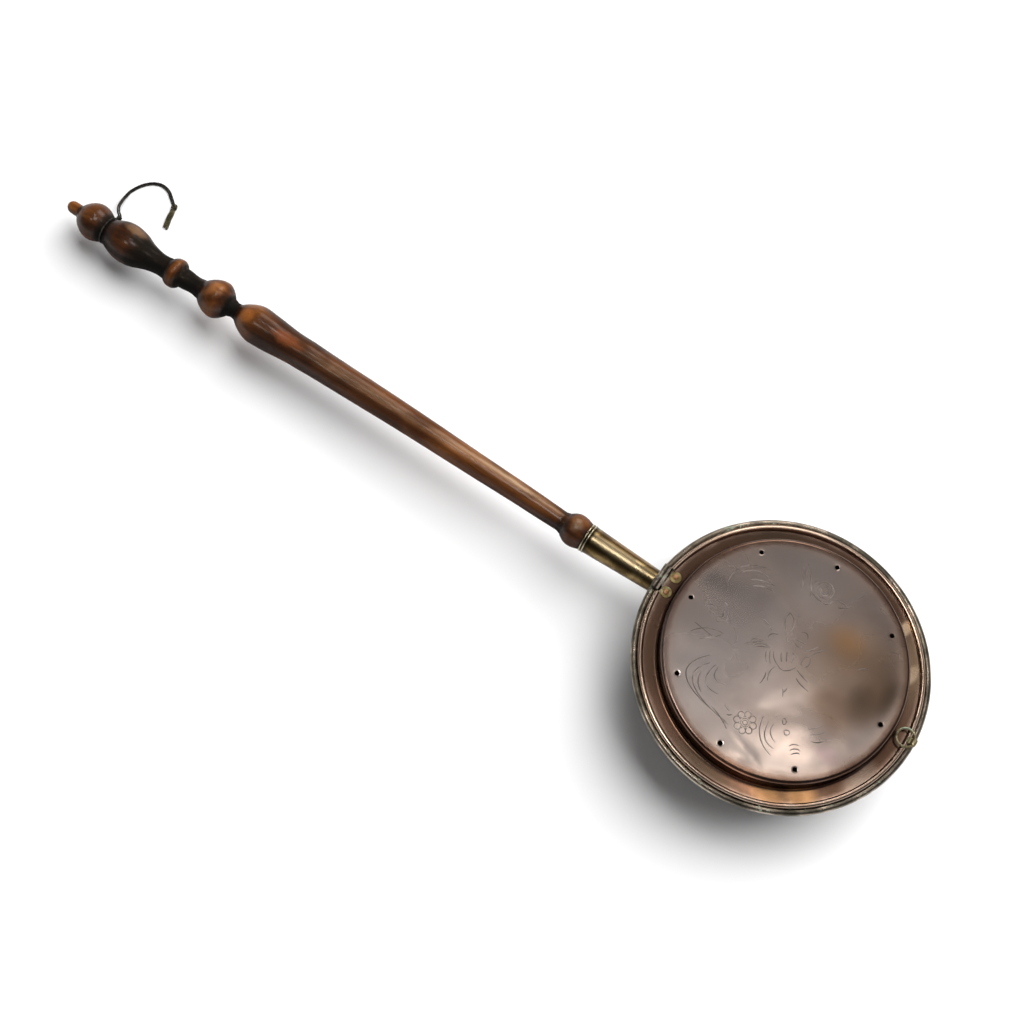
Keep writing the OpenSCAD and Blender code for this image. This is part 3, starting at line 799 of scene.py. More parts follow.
    @staticmethod
    def lid_painted_light_rings() -> Stops:
        """Tints of the lid by radius: pale top, painted shade on the step, brown channel, and a painted highlight that
        lifts the rolled edge above its own colour.
        """
        return ((112, (1, 1, 1)), (118.5, (0.95, 0.9, 0.86)), (121.5, (0.62, 0.5, 0.43)), (124.5, (0.36, 0.26, 0.21)),
                (127.8, (0.22, 0.14, 0.1)), (130, (0.26, 0.17, 0.12)), (134, (0.3, 0.205, 0.15)),
                (139, (0.36, 0.25, 0.185)), (142, (0.75, 0.6, 0.5)), (144, (1.6, 1.4, 1.2)), (149, (1.5, 1.4, 1.2)))

    @staticmethod
    def lid_tarnish_and_painted_light() -> tuple[ColourPatch, ...]:
        """Patches of the lid's raised top and channel, lowest first: tarnish, with painted reflections, highlights and
        glints among them.
        """
        return (
            ColourPatch((60, 30, 103), (95, 110, 40), (0.31, 0.28, 0.275), 0.5, 0.95, 0.04, 14.0),
            ColourPatch((-20, -5, 103), (62, 52, 40), (0.36, 0.28, 0.235), 0.5, 0.95, 0.04, 20.0),
            ColourPatch((-66, -28, 103), (72, 86, 40), (0.28, 0.19, 0.13), 0.6, 0.9, 0.3, 18.0),
            ColourPatch((-50, -46, 103), (52, 44, 40), (0.33, 0.205, 0.125), 0.6, 0.95, 0.2, 26.0),
            ColourPatch((-44, -50, 103), (28, 24, 40), (0.44, 0.235, 0.1), 0.5, 0.95, 0.3, 30.0),
            # Partly tarnish and partly a painted reflection: these dark brown patches towards -X darken the top where
            # it mirrors the dark room beyond the lamps.
            ColourPatch((-84, -32, 102), (44, 74, 40), (0.21, 0.135, 0.09), 0.65, 0.95, 0.05, 26.0),
            ColourPatch((-98, -16, 102), (28, 50, 40), (0.13, 0.08, 0.05), 0.75, 0.9, 0.08, 26.0),
            ColourPatch((-106, -24, 102), (14, 30, 40), (0.06, 0.037, 0.022), 0.6, 0.9, 0.08, 40.0),
            ColourPatch((-68, 16, 102), (38, 34, 40), (0.2, 0.13, 0.09), 0.75, 0.7, 0.5, 36.0),
            ColourPatch((-88, -2, 102), (24, 32, 40), (0.13, 0.085, 0.056), 0.55, 0.85, 0.8, 34.0),
            # Painted highlight: these pale cream and pink patches towards +Y brighten the top where it mirrors the
            # overhead lamps.
            ColourPatch((-60, 76, 102), (44, 30, 40), (0.56, 0.45, 0.40), 0.6, 0.95, 0.04, 24.0),
            ColourPatch((50, 92, 102), (34, 18, 40), (0.5, 0.43, 0.40), 0.6, 0.95, 0.04, 24.0),
            ColourPatch((-84, 62, 102), (20, 14, 40), (0.50, 0.33, 0.35), 0.4, 0.95, 0.05, 40.0),
            ColourPatch((-56, 124, 80), (26, 16, 6), (0.40, 0.22, 0.1), 0.8, 0.8, 0.6, 50.0),
            ColourPatch((-86, 106, 80), (24, 22, 6), (0.40, 0.22, 0.1), 0.8, 0.8, 0.6, 50.0),
            ColourPatch((-20, 127, 90), (76, 16, 15), (0.9, 0.45, 0.28), 0.85, 0.9, 0.5, 50.0),
            # Painted glints: two small bright spots on the slope of the channel towards -X.
            ColourPatch((-87, -106, 80), (8, 12, 6), (1.0, 0.72, 0.48), 0.95, 0.6, 0.4, 60.0),
            ColourPatch((-117, -68, 80), (8, 15, 6), (1.0, 0.76, 0.54), 0.95, 0.6, 0.4, 60.0),
            ColourPatch((-112, -78, 80), (60, 66, 6), (0.36, 0.25, 0.16), 0.7, 0.9, 0.5, 50.0),
            ColourPatch((116, 65, 80), (40, 70, 6), (0.10, 0.06, 0.04), 0.7, 0.9, 0.5, 50.0),
            ColourPatch((70, -110, 80), (60, 50, 6), (0.11, 0.075, 0.05), 0.6, 0.9, 0.5, 50.0),
            ColourPatch((20, 140, 80), (70, 30, 6), (0.10, 0.075, 0.05), 0.6, 0.9, 0.5, 50.0),
            ColourPatch((-132, 66, 80), (24, 40, 6), (0.46, 0.36, 0.29), 0.7, 0.9, 0.5, 50.0))

    @staticmethod
    def socket_painted_light() -> tuple[ColourPatch, ...]:
        """Painted light on the socket: painted shade at its foot under the pan's rim and along its underside, a dark
        painted reflection along its -Y edge, and a painted highlight streak and sheen along its top.
        """
        return (ColourPatch((150, -5, 62), (16, 40, 40), (0.075, 0.05, 0.024), 0.85, 0.8, 0.8, 90.0),
                ColourPatch((200, -5, 44), (70, 40, 23), (0.022, 0.014, 0.006), 0.9, 0.75, 0.5, 60.0),
                ColourPatch((200, -24, 66), (70, 10, 14), (0.05, 0.03, 0.012), 0.7, 0.8, 0.5, 60.0),
                ColourPatch((200, -3, 76), (70, 8, 12), (0.62, 0.5, 0.31), 0.7, 0.9, 0.15, 60.0),
                ColourPatch((195, -14, 71), (44, 5, 9), (0.3, 0.16, 0.07), 0.6, 0.9, 0.6, 90.0))

    @staticmethod
    def wood_stains_and_painted_highlight() -> tuple[ColourPatch, ...]:
        """Patches of the handle, in the handle's own frame: a dark streak on the swell, orange and light patches on
        the crowns, and a pale scuff on the bulb that is also a painted highlight.
        """
        return (ColourPatch((600, -22, 68), (70, 15, 30), (0.018, 0.011, 0.007), 0.85, 0.7, 0.7, 50.0),
                ColourPatch((618, -4, 90), (26, 10, 20), (0.2, 0.052, 0.012), 0.75, 0.8, 0.9, 60.0),
                ColourPatch((672, -2, 88), (12, 14, 18), (0.33, 0.105, 0.022), 0.7, 0.7, 0.7, 60.0),
                # Pale scuff along the top of the bulb, laid on its highlight line: partly wear, partly a painted
                # highlight.
                ColourPatch((829, -16, 88), (20, 8, 14), (0.34, 0.19, 0.1), 0.4, 0.75, 0.9, 110.0),
                ColourPatch((250, -6, 84), (9, 12, 16), (0.17, 0.1, 0.055), 0.6, 0.8, 0.6, 60.0),
                ColourPatch((720, -8, 90), (10, 12, 14), (0.36, 0.14, 0.05), 0.45, 0.8, 0.7, 70.0))


# ---- Geometry Nodes ----


@dataclass
class Growers:
    """Geometry Nodes trees that grow what repeats or follows a path."""

    sweep: Tree = field(init=False)
    plies: Tree = field(init=False)
    burrs: Tree = field(init=False)
    ply_reach: float = 0.46
    ply_radius: float = 0.54
    burr_sizes: Flat = (0.97, 1.04)

    def __post_init__(self) -> None:
        """Builds each tree once."""
        self.sweep = self.make_sweep()
        self.plies = self.make_plies()
        self.burrs = self.make_burrs()

    @staticmethod
    def close(w: Wiring, give: Socket, mesh: Socket, finish: Socket) -> None:
        """Ends a tree in smooth shading, Realize Instances and Set Material."""
        smooth = w.add("GeometryNodeSetShadeSmooth")
        real = w.add("GeometryNodeRealizeInstances")
        w.feed(smooth.inputs[0], mesh)
        w.feed(real.inputs[0], smooth.outputs[0])
        dress = w.join(w.add("GeometryNodeSetMaterial"), Geometry=real.outputs[0], Material=finish)
        w.feed(give, dress.outputs[0])

    @staticmethod
    def path(w: Wiring, shape: Socket) -> Socket:
        """Turns chains of edges into curves."""
        node = w.add("GeometryNodeMeshToCurve")
        w.feed(node.inputs[0], shape)
        return node.outputs[0]

    @staticmethod
    def circle(w: Wiring, sides: object, radius: object) -> Socket:
        """Adds a round outline."""
        return w.join(w.add("GeometryNodeCurvePrimitiveCircle"), Resolution=sides, Radius=radius).outputs[0]

    @staticmethod
    def stored(w: Wiring, kind: str, name: str) -> Socket:
        """Value that a seed point carries under a name."""
        return w.join(w.add("GeometryNodeInputNamedAttribute", data_type=kind), Name=name).outputs[0]

    @staticmethod
    def scaled(w: Wiring, vector: Socket, by: Socket) -> Socket:
        """Scales a vector by a number."""
        return w.join(w.add("ShaderNodeVectorMath", operation="SCALE"), Vector=vector, Scale=by).outputs[0]

    def make_sweep(self) -> Tree:
        """Round sections along each chain of edges, as wide as its own "half" value says.

        Returns:
            The tree.
        """
        w, (shape, sides, finish), (give,) = new_tree("swept_rounds", "GeometryNodeTree", [
            ("Geometry", "Geometry", None), ("Sides", "Int", 24), ("Finish", "Material", None)],
            [("Geometry", "Geometry")])
        path, section, half = self.path(w, shape), self.circle(w, sides, 1.0), self.stored(w, "FLOAT", "half")
        tube = w.join(w.add("GeometryNodeCurveToMesh"), Curve=path, Profile_Curve=section, Scale=half, Fill_Caps=True)
        self.close(w, give, tube.outputs[0], finish)
        return w.tree

    def make_plies(self) -> Tree:
        """Twists plies of cord round each chain of edges.

        Returns:
            The tree.
        """
        w, (shape, radius, twist, plies, sides, finish), (give,) = new_tree("twisted_plies", "GeometryNodeTree", [
            ("Geometry", "Geometry", None), ("Cord Radius", "Float", 0.0012), ("Twist Length", "Float", 0.006),
            ("Plies", "Int", 3), ("Sides", "Int", 10), ("Finish", "Material", None)], [("Geometry", "Geometry")])
        path = self.path(w, shape)
        copies = w.join(w.add("GeometryNodeDuplicateElements", domain="SPLINE"), Geometry=path, Amount=plies)
        along = w.add("GeometryNodeSplineParameter").outputs["Length"]
        tangent = w.add("GeometryNodeInputTangent").outputs[0]
        normal = w.add("GeometryNodeInputNormal").outputs[0]
        turn = w.times(w.math("DIVIDE", along, twist), math.tau)
        start = w.math("DIVIDE", w.times(copies.outputs["Duplicate Index"], math.tau), plies)
        angle = w.plus(turn, start)
        side = w.vector("CROSS_PRODUCT", tangent, normal)
        reach = w.times(radius, self.ply_reach)
        out = w.vector("ADD", self.scaled(w, normal, w.times(w.math("COSINE", angle), reach)),
                       self.scaled(w, side, w.times(w.math("SINE", angle), reach)))
        moved = w.join(w.add("GeometryNodeSetPosition"), Geometry=copies.outputs["Geometry"], Offset=out)
        section = self.circle(w, sides, w.times(radius, self.ply_radius))
        tube = w.join(w.add("GeometryNodeCurveToMesh"), Curve=moved.outputs[0], Profile_Curve=section, Fill_Caps=True)
        self.close(w, give, tube.outputs[0], finish)
        return w.tree

    def make_burrs(self) -> Tree:
        """Sets a thin raised burr round each point, level with its own "facing" direction.

        Returns:
            The tree.
        """
        w, (shape, hole, burr, seed, finish), (give,) = new_tree("punched_burrs", "GeometryNodeTree", [
            ("Geometry", "Geometry", None), ("Hole Radius", "Float", 0.0025), ("Burr", "Float", 0.0002),
            ("Seed", "Int", 3), ("Finish", "Material", None)], [("Geometry", "Geometry")])
        ring, section = self.circle(w, 24, hole), self.circle(w, 6, burr)
        tube = w.join(w.add("GeometryNodeCurveToMesh"), Curve=ring, Profile_Curve=section)
        facing = self.stored(w, "FLOAT_VECTOR", "facing")
        level = w.join(w.add("FunctionNodeAlignRotationToVector", axis="Z"), Vector=facing)
        size = w.join(w.add("FunctionNodeRandomValue", data_type="FLOAT"), Seed=seed)
        size.inputs[2].default_value, size.inputs[3].default_value = self.burr_sizes
        spread = w.join(w.add("GeometryNodeInstanceOnPoints"), Points=shape, Instance=tube.outputs[0],
                        Rotation=level.outputs[0], Scale=size.outputs[1])
        self.close(w, give, spread.outputs[0], finish)
        return w.tree

    def grow(self, name: str, tree: Tree, points: Sequence[Sequence[float]],
             edges: Sequence[tuple[int, int]], attributes: dict[str, Sequence[object]],
             inputs: dict[str, object], crease: float = 50) -> Piece:
        """Runs a tree on points and edges and keeps the result as a plain mesh.

        Args:
            name: Name of the piece.
            tree: The tree.
            points: Points in millimetres.
            edges: Point numbers of each edge.
            attributes: Values per point, numbers or vectors, by name.
            inputs: The tree's inputs by name.
            crease: Edges sharper than this angle, in degrees, stay sharp.

        Returns:
            The piece.
        """
        mesh = bpy.data.meshes.new(name + "_seed")
        mesh.from_pydata([(p[0] * MM, p[1] * MM, p[2] * MM) for p in points], edges, [])
        for label, values in attributes.items():
            vector = isinstance(values[0], (tuple, list, Vector))
            store = mesh.attributes.new(label, "FLOAT_VECTOR" if vector else "FLOAT", "POINT")
            for item, value in zip(store.data, values):
                setattr(item, "vector" if vector else "value", value)
        seed = bpy.data.objects.new(name + "_seed", mesh)
        bpy.context.scene.collection.objects.link(seed)
        modifier = seed.modifiers.new("grow", "NODES")
        modifier.node_group = tree
        for item in tree.interface.items_tree:
            if item.item_type == "SOCKET" and item.in_out == "INPUT" and item.name in inputs:
                modifier[item.identifier] = inputs[item.name]
        graph = bpy.context.evaluated_depsgraph_get()
        grown = bpy.data.meshes.new_from_object(seed.evaluated_get(graph), depsgraph=graph)
        grown.name = name
        seed.modifiers.remove(modifier)
        bpy.data.objects.remove(seed)
        return finished(name, grown, None, crease)

    def tubes(self, name: str, chains: Sequence[Chain], sides: int, finish: Material,
              closed: bool = False, crease: float = 50) -> Piece:
        """Grows round tubes of changing width along chains of points.

        Args:
            name: Name of the piece.
            chains: For each tube, its points and their half widths in millimetres.
            sides: Sides of the tubes.
            finish: Material.
            closed: True if each chain ends where it starts.
            crease: Edges sharper than this angle, in degrees, stay sharp.

        Returns:
            The piece.
        """
        points, edges, halves = [], [], []
        for chain in chains:
            first = len(points)
            points += [p for p, _ in chain]
            halves += [h * MM for _, h in chain]
            edges += [(first + i, first + i + 1) for i in range(len(chain) - 1)]
            if closed:
                edges.append((len(points) - 1, first))
        return self.grow(name, self.sweep, points, edges, {"half": halves},
                         {"Sides": sides, "Finish": finish}, crease)

    def cord(self, name: str, path: Sequence[Vector], radius: float, twist: float, finish: Material) -> Piece:
        """Grows twisted cord along a path.

        Args:
            name: Name of the piece.
            path: Points of the path in millimetres.
            radius: Radius of the cord in millimetres.
            twist: Length of one turn of the lay in millimetres.
            finish: Material.

        Returns:
            The piece.
        """
        edges = [(i, i + 1) for i in range(len(path) - 1)]
        return self.grow(name, self.plies, path, edges, {},
                         {"Cord Radius": radius * MM, "Twist Length": twist * MM, "Finish": finish}, 80)


# ---- Studio ----


class Seen(Enum):
    """What a lamp does: it lights the dull surfaces, or only shows as a reflection."""

    LIT = "lit"
    MIRRORED = "mirrored"


@dataclass
class Studio:
    """Camera at the photograph's place, plain pale floor and soft lamps."""

    eye: Place = (88.8, 629.4, 1822.2)
    right: Place = (-0.82755, -0.55487, 0.08535)
    down: Place = (-0.54806, 0.76558, -0.33693)
    lens: float = 63.28
    aim: Place = (0.1, 0, 0.05)
    floor_r: float = 12000.0
    floor_sides: int = 64
    floor_glow: float = 0.035

    def build(self) -> None:
        """Makes the camera, the floor, the lamps and the world."""
        self.camera()
        self.floor()
        self.lamp("key_softbox", (-840, -2775, 4800), 6200, 650.0, (1, 1, 1), Seen.LIT)
        self.lamp("side_panel", (700, -1900, 1700), 1200, 18.0, (1.0, 0.96, 0.9), Seen.MIRRORED)
        self.lamp("overhead_panel", (600, 180, 3500), 800, 19.0, (1.0, 0.98, 0.94), Seen.MIRRORED)
        self.lamp("overhead_accent", (1250, -700, 3500), 300, 6.0, (1.0, 0.97, 0.94), Seen.MIRRORED)
        self.lamp("lid_accent", (-262, -420, 2030), 170, 0.5, (1.0, 0.94, 0.84), Seen.MIRRORED)
        self.lamp("lid_panel", (-300, -540, 2600), 1100, 1.9, (1.0, 0.98, 0.97), Seen.MIRRORED)
        self.lamp("wide_panel", (-600, -1000, 2500), 1700, 1.7, (1.0, 0.98, 0.96), Seen.MIRRORED)
        self.lamp("channel_accent", (1281, 721, 1982), 260, 2.5, (1.0, 0.9, 0.76), Seen.MIRRORED)
        self.world()
        bpy.context.scene.view_settings.view_transform = "Standard"

    def camera(self) -> None:
        """Makes the camera from its measured axes."""
        data = bpy.data.cameras.new("photo_camera")
        data.lens, data.sensor_width = self.lens, 36.0
        data.clip_start, data.clip_end = 0.05, 60.0
        camera = bpy.data.objects.new("photo_camera", data)
        bpy.context.scene.collection.objects.link(camera)
        x = Vector(self.right).normalized()
        y = -Vector(self.down)
        y = (y - y.dot(x) * x).normalized()
        turn = Matrix((x, y, x.cross(y))).transposed()
        camera.matrix_world = Matrix.Translation(Vector(self.eye) * MM) @ turn.to_4x4()
        bpy.context.scene.camera = camera

    def lamp(self, name: str, at: Place, size: float, power: float, colour: Colour, seen: Seen) -> None:
        """Makes a square lamp that faces the pan.

        Args:
            name: Name of the lamp.
            at: Its place in millimetres.
            size: Its side in millimetres.
            power: Its power in watts.
            colour: Its colour.
            seen: Whether it lights dull surfaces or is mirrored by gloss.
        """
        data = bpy.data.lights.new(name, "AREA")
        data.shape, data.size, data.energy, data.color = "SQUARE", size * MM, power, colour
        lamp = bpy.data.objects.new(name, data)
        bpy.context.scene.collection.objects.link(lamp)
        place = Vector(at) * MM
        lamp.location = place
        lamp.visible_glossy = seen is Seen.MIRRORED
        lamp.visible_diffuse = seen is Seen.LIT
        lamp.rotation_euler = (Vector(self.aim) - place).to_track_quat("-Z", "Y").to_euler()

    def floor(self) -> None:
        """Makes a wide pale floor that catches the shadow."""
        material, w, surface = plain_material("pale_floor")
        white = w.ramp(w.noise(w.place(), 3.0, 2), [(0.3, (0.86, 0.86, 0.86)), (0.7, (0.88, 0.88, 0.88))])
        rays = w.add("ShaderNodeLightPath").outputs
        seen = w.math("MAXIMUM", rays["Is Camera Ray"],
                      w.math("MAXIMUM", rays["Is Glossy Ray"], rays["Is Transmission Ray"]))
        w.join(surface, Base_Color=white, Roughness=1.0, Specular_IOR_Level=0.0, Emission_Color=(1, 1, 1, 1),
               Emission_Strength=w.times(seen, self.floor_glow))
        ring = [(self.floor_r * math.cos(a), self.floor_r * math.sin(a), 0.0) for a in around(self.floor_sides)]
        floor = mesh_piece("studio_floor", ring, [tuple(range(self.floor_sides))], material)
        if floor.data.polygons[0].normal.z < 0:
            floor.data.flip_normals()

    def world(self) -> None:
        """Makes a studio that is grey at eye level and dark overhead."""
        world = bpy.data.worlds.new("plain_studio")
        bpy.context.scene.world = world
        world.use_nodes = True
        w = Wiring(world.node_tree)
        w.tree.nodes.clear()
        out, light = w.add("ShaderNodeOutputWorld"), w.add("ShaderNodeBackground")
        apart = w.add("ShaderNodeSeparateXYZ")
        w.feed(apart.inputs[0], w.add("ShaderNodeTexCoord").outputs["Generated"])
        w.feed(light.inputs["Color"], w.ramp(w.span(apart.outputs["Z"], 0.12, 0.5),
                                             [(0.0, (0.45, 0.45, 0.45)), (1.0, (0.09, 0.0885, 0.09))]))
        w.tree.links.new(light.outputs[0], out.inputs[0])


# ---- What the sub-assemblies share ----


@dataclass
class Grip:
    """The handle's line: where it starts at the pan's centre and how it slopes."""

    line_y: float = -5.0
    height: float = 68.0
    slope: float = 2.2

    @property
    def tilt(self) -> Flat:
        """Cosine and sine of the slope."""
        return math.cos(math.radians(self.slope)), math.sin(math.radians(self.slope))

    def place(self, x: float, y: float, z: float) -> Vector:
        """Turns a place on the handle's own axes into one in the pan's frame.

        Args:
            x: Distance along the handle.
            y: Distance sideways.
            z: Distance up from the handle's line.

        Returns:
            The place in millimetres.
        """
        c, s = self.tilt
        return Vector((x * c + z * s, y + self.line_y, self.height - x * s + z * c))

    def along(self, point: Vector) -> float:
        """Distance along the handle of a point in the pan's frame, in millimetres."""
        c, s = self.tilt
        return point.x * c - (point.z - self.height) * s


def cad_piece(node: str) -> Piece:
    """The CAD piece of a node."""
    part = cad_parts[node]
    return bpy.data.objects[part] if isinstance(part, str) else part


def dress(node: str, finish: Material) -> None:
    """Gives a CAD node its finish."""
    materials = cad_piece(node).data.materials
    materials.clear()
    materials.append(finish)


# ---- Hanging lace ----


@dataclass
class HangingLace:
    """Doubled lace tied round the handle's end neck, with a knot and two frayed ends."""

    grip: Grip
    growers: Growers
    palette: Palette
    radius: float = 1.0
    side: float = 1.0
    neck_x: float = 866.2
    loop_r: float = 15.31
    lay: float = 7.0
    knot_at: Place = (838.4, -83.0, 2.8)
    knot_flat: float = 1.02
    knot_high: float = 1.25
    fibres: int = 22
    fibre_half: float = 0.36
    wraps: float = 2.6
    hitch_steps: int = 90
    round_steps: int = 120
    route: tuple[Place, ...] = (
        (865.8, -26.2, 34.5), (868.5, -28.2, 33.6), (872.5, -31.2, 30.4), (877, -35.6, 25.2), (882, -41.6, 18.6),
        (886, -48.6, 11.8), (888.9, -56, 6.4), (890.4, -63.5, 2.9), (890.3, -71.5, 1.5), (885.3, -83.8, 1.3),
        (877, -93.5, 1.3), (867, -97.8, 1.3), (856.5, -96, 1.3), (848, -90.2, 1.3), (841.02, -84.97, 1.3))
    tail_a: tuple[Place, ...] = ((839.8, -79.68, 1.5), (838.3, -76, 1.6), (837.1, -70.5, 1.5), (836, -65.5, 1.4),
                                 (834.9, -61, 1.3), (833.4, -56.5, 1.3))
    tail_b: tuple[Place, ...] = ((837.0, -79.68, 1.5), (836, -76.5, 1.6), (834.5, -71, 1.5), (833.1, -66, 1.4),
                                 (831.6, -61.2, 1.3), (829.6, -56, 1.3))

    def build(self) -> None:
        """Makes the knot and the frayed ends, then the cords that carry them, the loop and the hitch."""
        knot = self.knot()
        tails = [self.tail("lace_frayed_a", "lace_tail_a", self.tail_a, 5),
                 self.tail("lace_frayed_b", "lace_tail_b", self.tail_b, 9)]
        self.strand("lace_cord_a", "lace_strand_a", self.side)
        self.strand("lace_cord_b", "lace_strand_b", -self.side)
        self.loop()
        self.hitch()

    def strand(self, name: str, node: str, by: float) -> None:
        """Args:
            name: Name of the piece.
            node: CAD node that it stands for.
            by: Distance from the middle route.
        """
        path = through(aside([Vector(p) for p in self.route], by), 10)
        piece = self.growers.cord(name, path, self.radius, self.lay, self.palette.lace)
        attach(piece, "pan")
        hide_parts(node)
        LOG.info("%s: %.1f mm", name, route_length(path))

    def knot(self) -> Piece:
        """Makes the overhand knot near the lace's end.

        Returns:
            The piece.
        """
        centre = Vector(self.knot_at)
        path = []
        for t in around(self.round_steps) + [math.tau]:
            shape = Vector((math.sin(t) + 2 * math.sin(2 * t), math.cos(t) - 2 * math.cos(2 * t), -math.sin(3 * t)))
            path.append(centre + Vector((shape.x * self.knot_flat, shape.y * self.knot_flat,
                                         shape.z * self.knot_high + 0.1)))
        piece = self.growers.cord("lace_overhand_knot", path, self.radius * 1.08, self.lay, self.palette.frayed)
        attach(piece, "pan")
        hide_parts("lace_end_knot")
        LOG.info("lace_overhand_knot made")
        return piece

    def tail(self, name: str, node: str, route: tuple[Place, ...], seed: int) -> Piece:
        """Makes one frayed end as a bundle of fibres that spread towards its tip.

        Args:
            name: Name of the piece.
            node: CAD node that it stands for.
            route: Middle line of the tail.
            seed: Seed of the fibres.

        Returns:
            The piece.
        """
        dice = random.Random(seed)
        spine = through([Vector(p) for p in route], 5)
        last = len(spine) - 1
        chains: list[Chain] = []
        for number in range(self.fibres):
            angle, out = dice.uniform(0, math.tau), math.sqrt(dice.random())
            stop = last if number % 3 else last - dice.randint(1, 5)
            chain: Chain = []
            for i in range(stop + 1):
                t = i / last
                ahead = (spine[min(i + 1, last)] - spine[max(i - 1, 0)]).normalized()
                right = ahead.cross(Vector((0, 0, 1))).normalized()
                spread = (0.9 + 0.75 * ease(0.0, 0.4, t) - 0.35 * ease(0.6, 1.0, t)) * out
                turn = angle + 2.2 * t
                lift = Vector((0, 0, math.sin(turn) * spread * 0.85))
                p = spine[i] + right * math.cos(turn) * spread * 1.3 + lift
                half = self.fibre_half * (1 - 0.55 * t * t)
                p.z = max(p.z, half + 0.02)
                chain.append((p, half))
            chains.append(chain)
        piece = self.growers.tubes(name, chains, 6, self.palette.frayed, crease=80)
        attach(piece, "pan")
        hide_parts(node)
        LOG.info("%s: %d fibres", name, len(chains))
        return piece

    def loop(self) -> None:
        """Makes the turn of lace round the neck."""
        path = [self.grip.place(self.neck_x, -self.loop_r * math.cos(a), self.loop_r * math.sin(a))
                for a in around(self.round_steps) + [math.tau]]
        piece = self.growers.cord("lace_turn_round_neck", path, self.radius, 7.4, self.palette.lace)
        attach(piece, "pan")
        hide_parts("lace_neck_loop")
        LOG.info("lace_turn_round_neck made")

    def hitch(self) -> None:
        """Makes the wraps of the hitch where the lace leaves the neck."""
        start = self.loop_r + self.radius + 0.15
        path = []
        for i in range(self.hitch_steps + 1):
            t = i / self.hitch_steps
            a = math.tau * self.wraps * t
            y = -(start + 0.95 + 3.0 * t)
            path.append(self.grip.place(self.neck_x + 2.0 * math.cos(a), y, 2.0 * math.sin(a)))
        piece = self.growers.cord("lace_hitch_wraps", path, self.radius, self.lay, self.palette.lace)
        chain = [(self.grip.place(self.neck_x, -(start + out), 0), half)
                 for out, half in ((0.1, 1.2), (0.8, 2.3), (4.2, 2.3), (4.8, 1.2))]
        core = self.growers.tubes("lace_hitch_core", [chain], 16, self.palette.lace, crease=80)
        for part in (piece, core):
            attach(part, "pan")
        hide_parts("lace_hitch")
        LOG.info("lace_hitch_wraps made")


# ---- Pan ----


@dataclass
class Pan:
    """Copper bowl with a flat bottom, leaning wall and an edge rolled over wire."""

    palette: Palette
    rim_r: float = 151.5
    rim_z: float = 78.0
    thick: float = 1.2
    curl: float = 2.35
    lean: float = 10.0
    corner: float = 24.0
    uneven: float = 0.35
    columns: int = 240

    def outline(self) -> list[Flat]:
        """Outline of the bowl's sheet, from the middle of its underside to the middle of its inside.

        Returns:
            Radius and height of each point.
        """
        lean = math.radians(self.lean)
        top = (self.rim_r - self.curl * math.cos(lean), self.rim_z + self.curl * math.sin(lean))
        bend = top[0] + ((self.corner - top[1]) * math.sin(lean) - self.corner) / math.cos(lean)
        foot = arc((bend, self.corner), self.corner, -90, -self.lean, 14)
        rim = (self.rim_r, self.rim_z)
        roll_in = arc(rim, self.curl, 180 - self.lean, -120, 26)
        roll_out = arc(rim, self.curl + self.thick, -120, 180 - self.lean, 26)
        inner = arc((bend, self.corner), self.corner - self.thick, -self.lean, -90, 14)
        outside = stretch((0, 0), foot[0], 14) + foot + stretch(foot[-1], roll_in[0], 12) + roll_in
        inside = roll_out + stretch(roll_out[-1], inner[0], 12) + inner + stretch(inner[-1], (0, self.thick), 14)
        return outside + inside

    def build(self) -> None:
        """Makes the bowl and dresses the wire in its rim."""
        outline = self.outline()
        points: list[Sequence[float]] = []
        for r, z in outline:
            for a in around(self.columns):
                away = 1 - ease(100, 125, r * math.cos(a))
                wall = ease(6, 20, z) * (1 - ease(60, 72, z)) * away
                push = self.uneven * noise.noise(Vector((math.cos(a) * 3, math.sin(a) * 3, z * 0.03))) * wall
                points.append(((r + push) * math.cos(a), (r + push) * math.sin(a), z))
        rings = len(outline)
        faces: list[Sequence[int]] = list(ring_faces(rings, self.columns))
        low, high = len(points), len(points) + 1
        points += [(0, 0, 0), (0, 0, self.thick)]
        end = (rings - 1) * self.columns
        for j in range(self.columns):
            k = (j + 1) % self.columns
            faces += [(low, k, j), (high, end + j, end + k)]
        bowl = mesh_piece("copper_bowl", points, faces, self.palette.pan)
        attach(bowl, "pan")
        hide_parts("pan_bowl")
        dress("pan_rim_wire", self.palette.iron)
        LOG.info("copper_bowl: %d faces", len(faces))


# ---- Lid ----


class Motif(Enum):
    """Kinds of engraved marks on the raised top."""

    STROKE = "stroke"
    ROSETTE = "rosette"
    RING = "ring"


